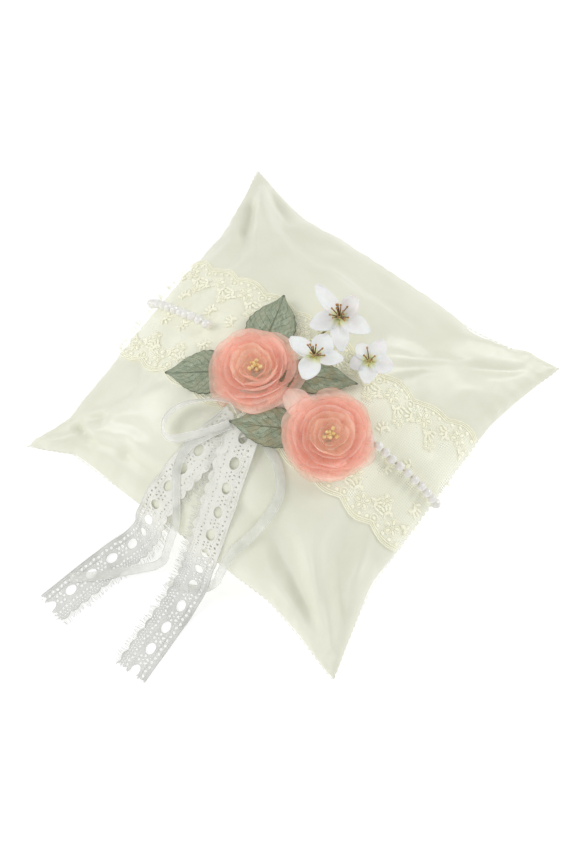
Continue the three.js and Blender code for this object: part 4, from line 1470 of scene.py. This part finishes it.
def makeRibbonTail(name, key, nodes, lift, table):
    line, up, toFold = tailLine(tails[key], 110)
    line = keepAbove(line, lift * mm, table)
    line = smoothLine(line[::4], 110)
    cells = ribbonCells(line, up, ribbon["width"], ribbon["thickness"], 0.0)
    piece = pieceOf(name, [cells], ribbonSatin)
    path = smoothLine(line, 34)
    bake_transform(piece)
    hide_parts(*nodes)
    return piece


makeRibbonTail("ribbonTailLeft", "ribbonLeft", ["ribbon_tail_left", "ribbon_tail_left_end"], 1.5, 0.0015)
makeRibbonTail("ribbonTailRight", "ribbonRight", ["ribbon_tail_right", "ribbon_tail_right_end"], 0.6, 0.0004)
makeLaceTail("laceTailLeft", "laceLeft", 1, ["lace_tail_left", "lace_tail_left_end"], 0.5, 2.0)
makeLaceTail("laceTailRight", "laceRight", -1, ["lace_tail_right", "lace_tail_right_end"], 0.5, 7.0)
print("tails made")


# ---- the bow

bow = dict(
    knot=(-3.5, -27.6),  # millimetres
    lift=8.4,
    loop=[
        (-3.2, -1.4, 0), (-10.2, 0.7, 0.8), (-18.6, -4.0, 1.6), (-26.2, -11, 2.4), (-30.3, -18, 2.8),
        (-30.2, -24.6, 2.8), (-26.4, -28, 2.2), (-21.2, -26.4, 1.6), (-14.8, -20.6, 1.4),
        (-8, -13.2, 1.4), (-4, -7.4, 0.8),
    ],
    middle=(-18, -12),  # the middle of the loop, from the knot
    width=0.0046,
)


def makeBow():
    x0, y0 = bow["knot"]
    points, ups = [], []
    for dx, dy, lift in bow["loop"]:
        x, y = (x0 + dx) * mm, (y0 + dy) * mm
        points.append(layOn(x, y, np.array((bow["lift"] - 4.6 + lift) * mm), "smooth"))
        outward = unit(np.array([dx, dy, 0.0]) - np.array([*bow["middle"], 0.0]))
        ups.append(skinNormal(np.array(x), np.array(y)) * 0.5 + outward)
    line = smoothLine(points, 90)
    where = np.linspace(0, len(ups) - 1, 90)
    up = unit(np.stack([np.interp(where, np.arange(len(ups)), np.array(ups)[:, k]) for k in range(3)], axis=1))
    loop = ribbonCells(line, up, bow["width"], ribbon["thickness"], 0.0003, 8.0)
    piece = pieceOf("bowLoop", [loop], bowSatin)
    settle(piece, "satin_ribbon", "ribbon_loop")
    low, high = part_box("ribbon_knot")
    middle = middleOf("ribbon_knot")
    half = (np.array(high) - np.array(low)) / 2

    def wrap(a, b):
        turn = b * 2 * math.pi
        waist = 1 - 0.35 * a**2 + 0.05 * np.sin(a * 14 + np.sin(turn) * 1.5)
        x = half[0] * (a * 0.95 + 0.06 * np.cos(turn))
        return np.stack([middle[0] + x, middle[1] + half[1] * waist * np.cos(turn), middle[2] + half[2] * waist * np.sin(turn)], axis=-1)

    def tuck(sign):
        def place(a, b):
            out = b * 0.0045
            x = middle[0] + sign * (half[0] * 0.7 + out)
            y = middle[1] + a * (0.0012 + 0.0011 * b) + 0.0006 * np.sin(b * 3)
            z = middle[2] + 0.0007 * np.cos(a * 2.2) - 0.0009 * b + 0.0004 * np.sin(a * 5)
            return np.stack([x + a * 0, y, z], axis=-1)

        return place

    parts = [sheetCells(24, 40, wrap, 0.007, 0.014)]
    parts += [sheetCells(10, 12, tuck(sign), 0.0046, 0.0045) for sign in (-1, 1)]
    settle(pieceOf("bowKnot", parts, ribbonSatin, 0.0003), "satin_ribbon", "ribbon_knot")


makeBow()
print("bow made")


# ---- felt pad

pad = dict(width=0.029, thickness=0.0009, lift=0.0017)


def makeFeltPad():
    low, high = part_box("flower_backing_felt")
    middle = middleOf("flower_backing_felt")
    length = high[0] - low[0]

    def place(top):
        def cell(a, b):
            c = 2 * b - 1
            nick = 1 + 0.006 * np.sin(a * 40 + c * 31)
            x = middle[0] + a * np.sqrt(1 - c * c / 2) * length / 2 * nick
            y = middle[1] + c * np.sqrt(1 - a * a / 2) * pad["width"] / 2 * nick
            return layOn(x, y, np.full_like(x, pad["lift"] + (pad["thickness"] if top else 0)), "smooth")

        return cell

    parts = [sheetCells(50, 24, place(top), length, pad["width"]) for top in (True, False)]
    settle(pieceOf("feltPad", parts, felt), "felt", "flower_backing_felt")


makeFeltPad()


# ---- roses

# Each whorl: petals, radius, height, share of the turn at its foot, full turn, half angle of a petal,
# and how far its rim curls out. Radius and height are in millimetres.
rose = dict(
    whorls=[
        (3, 4.7, 8.0, 0.03, 106, 92, 0.2, "inner"),
        (3, 7.4, 9.8, 0.03, 100, 84, 0.4, "inner"),
        (3, 9.6, 13.0, 0.3, 104, 82, 0.3, "inner"),
        (4, 11.6, 14.2, 0.34, 101, 70, 0.3, "middle"),
        (4, 13.8, 14.2, 0.38, 98, 66, 0.5, "middle"),
        (4, 16.0, 13.2, 0.42, 94, 62, 0.8, "middle"),
        (5, 18.2, 11.8, 0.46, 90, 56, 1.2, "outer"),
        (5, 20.4, 9.8, 0.5, 86, 54, 1.6, "outer"),
    ],
    grow=1.9,  # how much a petal's radius grows along it
    drop=0.42,  # how far a petal's rim falls towards its sides
    foot=0.55,
    beads=9,
)


def petalCells(centre, basis, size, whorl, angle, pick):
    count, radius, height, root, turn, span, curl = whorl[:7]
    height *= pick.uniform(0.8, 1.1)
    radius *= pick.uniform(0.88, 1.07)
    fullTurn = math.radians(turn)
    phases = [pick.uniform(0, 6.3) for _ in range(4)]
    lean = pick.uniform(-2.8, 2.8)
    notch = pick.uniform(-0.5, 0.5)
    fall = rose["drop"] * pick.uniform(0.75, 1.3)
    pinch = pick.uniform(0.0, 0.9)
    flatness = pick.uniform(0.02, 0.2)

    def place(a, b):
        rim = 1 - fall * np.abs(a + notch * 0.3) ** 2.6 - 0.04 * np.cos(3 * a + phases[0])
        h = root + (rim - root) * b
        theta = np.radians(angle + a * span)
        r = radius * (1 - flatness * (0.55 - a * a)) + rose["grow"] * (a + 1) / 2 * (0.6 + 0.4 * b)
        ruffle = b**2 * (0.35 * np.sin(a * 5.5 + phases[1]) + 0.2 * np.sin(a * 11 + phases[2]))
        ruffle = ruffle - pinch * b**3 * np.exp(-(((a - notch) / 0.16) ** 2))
        roll = curl * b**5 * (1 + 0.3 * np.sin(a * 4 + phases[3]))
        side = r * np.sin(h * fullTurn) + ruffle + roll
        z = height * (np.cos(root * fullTurn) - np.cos(h * fullTurn)) + lean * b * a * 1.2
        z = z + 0.25 * b * np.sin(a * 9 + phases[2]) - 0.25 * np.abs(curl) * b**8
        p = np.stack([side * np.cos(theta), side * np.sin(theta), z + rose["foot"]], axis=-1) * size * mm
        return centre + p @ basis

    return sheetCells(18, 12, place, radius * math.radians(span) * 2 * mm, height * mm)


def basisFor(node):
    middle = middleOf(node)
    normal = skinNormal(np.array(middle[0]), np.array(middle[1]))
    side = unit(np.cross(np.array([0, 1.0, 0]), normal))
    return middle, np.stack([side, np.cross(normal, side), normal])


def makeRose(side, size, firstAngle, seed):
    pick = random.Random(seed)
    node = "rose_" + side
    title = "rose" + side.capitalize()
    middle, basis = basisFor(node + "_buckram_disc")
    top = middle + basis[2] * 0.0006
    looks = {"inner": innerOrganza, "middle": middleOrganza, "outer": outerOrganza}
    owners = {1: 1, 3: 2, 5: 3, 7: 4}
    for k, whorl in enumerate(rose["whorls"]):
        parts = []
        for j in range(whorl[0]):
            angle = firstAngle + k * 47 + j * 360 / whorl[0] + pick.uniform(-15, 15)
            parts.append(petalCells(top, basis, size, whorl, angle, pick))
        piece = pieceOf(f"{title}Whorl{k + 1}", parts, looks[whorl[7]])
        nodes = []
        if k in owners:
            nodes = [f"{node}_whorl_{owners[k]}_petal_{n}" for n in (1, 2, 3)]
        settle(piece, "organza", *nodes)
    discCells(title, node, middle, basis, size)
    roseStamens(title, node, top, basis, size, pick)
    return top, basis


def discCells(title, node, middle, basis, size):
    low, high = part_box(node + "_buckram_disc")
    radius = (high[0] - low[0]) / 2 * 0.99

    def place(level):
        def cell(a, b):
            turn = a * math.pi
            edge = 1 + 0.008 * np.sin(turn * 17)
            p = np.stack([b * radius * edge * np.cos(turn), b * radius * edge * np.sin(turn), level + 0 * a], axis=-1)
            p[..., 2] -= 0.0003 * b**4 * np.sign(level)
            return middle + p @ basis

        return cell

    parts = [sheetCells(60, 8, place(level), 2 * radius, radius) for level in (-0.00055, 0.00055)]
    settle(pieceOf(title + "Disc", parts, buckram), "buckram", node + "_buckram_disc")


def roseStamens(title, node, top, basis, size, pick):
    def button(a, b):
        turn = a * math.pi
        lump = 1 + 0.07 * np.sin(turn * 5 + 1) + 0.05 * np.sin(turn * 9)
        out = 3.0 * mm * np.sin(b * math.pi / 2) * lump
        rise = (0.7 + 1.5 * np.cos(b * math.pi / 2) + 0.18 * np.sin(b * 16 + turn * 3) * b) * mm
        return top + np.stack([out * np.cos(turn), out * np.sin(turn), rise], axis=-1) @ basis

    centre = pieceOf(title + "Button", [sheetCells(36, 12, button, 0.02, 0.006)], innerOrganza)
    settle(centre, "organza")
    beads, threads = [], []
    for i in range(rose["beads"]):
        angle = 2.4 * i + pick.uniform(-0.3, 0.3)
        out = (0.5 + 0.32 * i) * pick.uniform(0.85, 1.15)
        height = pick.uniform(8.4, 10.6)
        head = np.array([out * math.cos(angle), out * math.sin(angle), height]) * mm * size
        foot = np.array([0.25 * out * math.cos(angle), 0.25 * out * math.sin(angle), 0.7]) * mm
        bend = (head + foot) / 2 + np.array([0.2, 0.1, 0]) * mm
        threads.append(tubeCells(top + smoothLine([foot, bend, head], 7) @ basis, 0.00018, 5))
        beads.append(beadCells(top + head @ basis, pick.uniform(0.75, 0.98) * mm, i * 0.9, 1.15))
    settle(pieceOf(title + "Stamens", beads, goldBead), "stamen_gold", node + "_stamens")
    settle(pieceOf(title + "StamenThreads", threads, goldThread), "stamen_gold")


leftTop, leftBasis = makeRose("left", 1.0, 20, 4)
rightTop, rightBasis = makeRose("right", 1.02, 75, 8)
print("roses made")


# A wide sheer petal of the right rose lies out over the front leaf.
def makeLoosePetal():
    direction = math.radians(172)

    def place(a, b):
        out = (15.5 + 13.5 * b - 2.4 * b * a * a) * mm
        width = (6.4 * np.sin(math.pi * (0.2 + 0.62 * b)) ** 0.7) * mm
        across = a * width
        lift = (1.5 + 4.6 * np.sin(b * 2.2) + 0.5 * np.sin(a * 5 + b * 3) + 1.0 * a * a * b) * mm
        x = out * math.cos(direction) - across * math.sin(direction)
        y = out * math.sin(direction) + across * math.cos(direction)
        return rightTop + np.stack([x, y, lift], axis=-1) @ rightBasis

    piece = pieceOf("roseRightLoosePetal", [sheetCells(16, 16, place, 0.013, 0.014)], outerOrganza)
    settle(piece, "organza")


makeLoosePetal()


# ---- leaves

leaves = {
    "leaf_left": dict(rose="left", angle=215, reach=21, width=22, tip=3.5, rust=False),
    "leaf_top": dict(rose="left", angle=109, reach=18, width=24, tip=3.7, rust=False),
    "leaf_right": dict(rose="left", angle=28, reach=25.5, width=17, tip=3.5, rust=True),
    "leaf_front": dict(rose="right", angle=208, reach=23, width=19, tip=7.4, rust=True),
}
leafBase = 2.85  # lift where a leaf starts, in millimetres


def makeLeaf(node, shape):
    centre = middleOf(f"rose_{shape['rose']}_buckram_disc")
    size = 1.02 if shape["rose"] == "right" else 1.0
    angle = math.radians(shape["angle"])
    direction = np.array([math.cos(angle), math.sin(angle)])
    base = centre[:2] + direction * 10.5 * mm
    tip = centre[:2] + direction * (22.4 * size + shape["reach"]) * mm
    length = float(np.linalg.norm(tip - base))
    phase = shape["angle"] * 0.1

    def place(a, b):
        k = b * 0.995
        bulge = np.sin(math.pi * (0.06 + 0.93 * k**0.8)) ** 0.95 * (1 - 0.4 * smoothStep(k, 0.72, 1.0))
        tooth = 1 + 0.02 * np.sin(k * 55 + np.sign(a)) * np.abs(a) ** 6
        out = a * shape["width"] * mm * bulge * tooth / 2
        sway = 0.0006 * np.sin(k * 3.4 + phase)
        x = base[0] + (tip[0] - base[0]) * k + direction[1] * (out + sway)
        y = base[1] + (tip[1] - base[1]) * k - direction[0] * (out + sway)
        lift = leafBase + (shape["tip"] - leafBase) * np.clip((k - 0.2) / 0.8, 0, 1)
        veins = np.abs(np.sin(math.pi * (k * 9 - np.abs(a) * 3.2)))
        groove = 0.16 * np.exp(-((a / 0.07) ** 2)) + 0.09 * np.exp(-((veins / 0.22) ** 2)) * smoothStep(np.abs(a), 0.03, 0.2)
        arch = 1.0 * (a * k) ** 2 * bulge
        wave = 0.35 * np.sin(k * 9 + phase + np.sign(a)) * np.abs(a) ** 1.5 * bulge
        curl = 0.9 * smoothStep(k, 0.8, 1.0)
        return layOn(x, y, (lift - arch - groove + np.abs(wave) + curl) * mm, "smooth")

    finish = rustyLeafCloth if shape["rust"] else leafCloth
    cells = sheetCells(36, 90, place, shape["width"] * mm, length)
    title = "leaf" + node.split("_")[1].capitalize()
    settle(pieceOf(title, [cells], finish, 0.0003), "leaf_cloth", node)
    spine = []
    for k in np.linspace(0.03, 0.97, 24):
        spine.append(place(np.array([[0.0]]), np.array([[k]]))[0, 0] + np.array([0, 0, -0.00045]))
    wire = tubeCells(smoothLine(spine, 40), 0.0003, 6)
    settle(pieceOf(title + "Wire", [wire], stemTape), "leaf_cloth")


for node, shape in leaves.items():
    makeLeaf(node, shape)
print("leaves made")


# ---- blossoms

# Each petal: angle in degrees, length, width and rise in millimetres.
blossoms = {
    "upper": dict(
        petals=[(162, 20, 8, 3), (236, 15.5, 10.5, 2), (308, 18, 9.5, 1), (6, 17, 10, 3), (76, 11, 10, 8)],
        pins=15,
        seed=3,
    ),
    "lower": dict(
        petals=[(182, 14.5, 8.5, 4), (284, 13, 10.5, 1), (24, 14, 8, 4), (88, 12, 11, 2.5)],
        pins=10,
        seed=6,
    ),
    "outer": dict(
        petals=[(-60, 12, 9, 1), (14, 12.5, 9.5, 2.5), (86, 12, 9, 3), (158, 10, 8, 1.5), (232, 10, 8.5, 1)],
        pins=6,
        seed=9,
    ),
}


def silkPetal(centre, petal, pick):
    angle, length, width, rise = petal
    c, s = math.cos(math.radians(angle)), math.sin(math.radians(angle))
    twist = pick.uniform(-0.5, 0.5)
    droop = pick.uniform(0.6, 1.6)
    phase = pick.uniform(0, 6)

    def place(a, b):
        spread = 0.12 + 0.88 * np.sin(math.pi * (0.1 + 0.84 * b)) ** 0.75
        notch = 0.5 * np.exp(-((a / 0.25) ** 2)) * b**6
        x = 1 + (length - 1) * (b - 0.09 * b * a * a) - notch
        y = a * width * spread / 2
        cup = 0.1 * a * a * width * spread
        z = rise * b * b + cup + twist * a * b * 1.6 - droop * smoothStep(b, 0.55, 1.0) * 0.9
        z = z + 0.22 * np.sin(b * 7 + a * 2 + phase) * b - 0.3 * np.exp(-((a / 0.16) ** 2)) * (1 - b)
        return centre + np.stack([x * c - y * s, x * s + y * c, z + 0.1], axis=-1) * mm

    return sheetCells(12, 18, place, width * mm, length * mm)


def makeBlossom(which, form):
    pick = random.Random(form["seed"])
    node = "blossom_" + which
    title = "blossom" + which.capitalize()
    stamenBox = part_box(node + "_stamens")
    middle = middleOf(node + "_stamens")
    centre = np.array([middle[0], middle[1], stamenBox[0][2] - 0.0006])
    petals = [silkPetal(centre, petal, pick) for petal in form["petals"]]
    settle(pieceOf(title + "Corolla", petals, whiteSilk, 0.0003), "blossom_silk", node + "_corolla")
    threads, tips = [], []
    for i in range(form["pins"]):
        angle = 2.4 * i + pick.uniform(-0.4, 0.4)
        lean = pick.uniform(0.15, 0.75)
        length = pick.uniform(4.6, 6.6)
        way = np.array([math.sin(lean) * math.cos(angle), math.sin(lean) * math.sin(angle), math.cos(lean)])
        foot = centre + np.array([0.5 * math.cos(angle), 0.5 * math.sin(angle), 0.4]) * mm
        head = foot + way * length * mm
        bend = (foot + head) / 2 + np.array([0, 0, 0.5]) * mm
        line = smoothLine([foot, bend, head], 9)
        threads.append(tubeCells(line, 0.00028, 5))
        tip = head + way * np.linspace(-0.4, 1.3, 6)[:, None] * mm
        tips.append(tubeCells(tip, np.array([0.2, 0.42, 0.5, 0.5, 0.4, 0.2]) * mm, 7))
    settle(pieceOf(title + "Stamens", threads, brownThread), "stamen_brown", node + "_stamens")
    settle(pieceOf(title + "Anthers", tips, goldTip), "stamen_brown")
    low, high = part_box(node + "_stem")
    bottom = np.array([low[0] if abs(centre[0] - high[0]) < abs(centre[0] - low[0]) else high[0], 0, low[2]])
    bottom[1] = low[1] if abs(centre[1] - high[1]) < abs(centre[1] - low[1]) else high[1]
    foot = bottom + np.array([0, 0, 0.0005])
    top = centre - np.array([0, 0, 0.0011])
    bend = np.array([foot[0] * 0.6 + top[0] * 0.4, foot[1] * 0.6 + top[1] * 0.4, foot[2] * 0.4 + top[2] * 0.6])
    line = smoothLine([foot, bend, top], 40)
    wrapped = 0.00055 + 0.00006 * np.sin(np.arange(40) * 1.9)
    settle(pieceOf(title + "Stem", [tubeCells(line, wrapped, 8)], stemTape), "stem_tape", node + "_stem")
    lobes = []
    for i in range(5):
        angle = 2 * math.pi * i / 5 + 0.3
        way = np.array([math.cos(angle), math.sin(angle), 0])
        spots = [centre + np.array([0, 0, -1.4]) * mm, centre + way * 1.3 * mm + np.array([0, 0, -0.9]) * mm]
        spots.append(centre + way * 3.2 * mm + np.array([0, 0, 0.1 - 0.4 * (i % 2)]) * mm)
        lobes.append(tubeCells(smoothLine(spots, 9), np.array([5, 8, 9, 9, 8, 7, 5, 3, 2]) * 0.00011, 7))
    settle(pieceOf(title + "Calyx", lobes, calyxTape), "stem_tape")


for which, form in blossoms.items():
    makeBlossom(which, form)
print("blossoms made")


def makeFloor():
    base = sheetCells(8, 8, lambda a, b: np.stack([a * 2, b * 4 - 2, a * 0], axis=-1), 4, 4)
    floor = pieceOf("floor", [base], paper)


makeFloor()
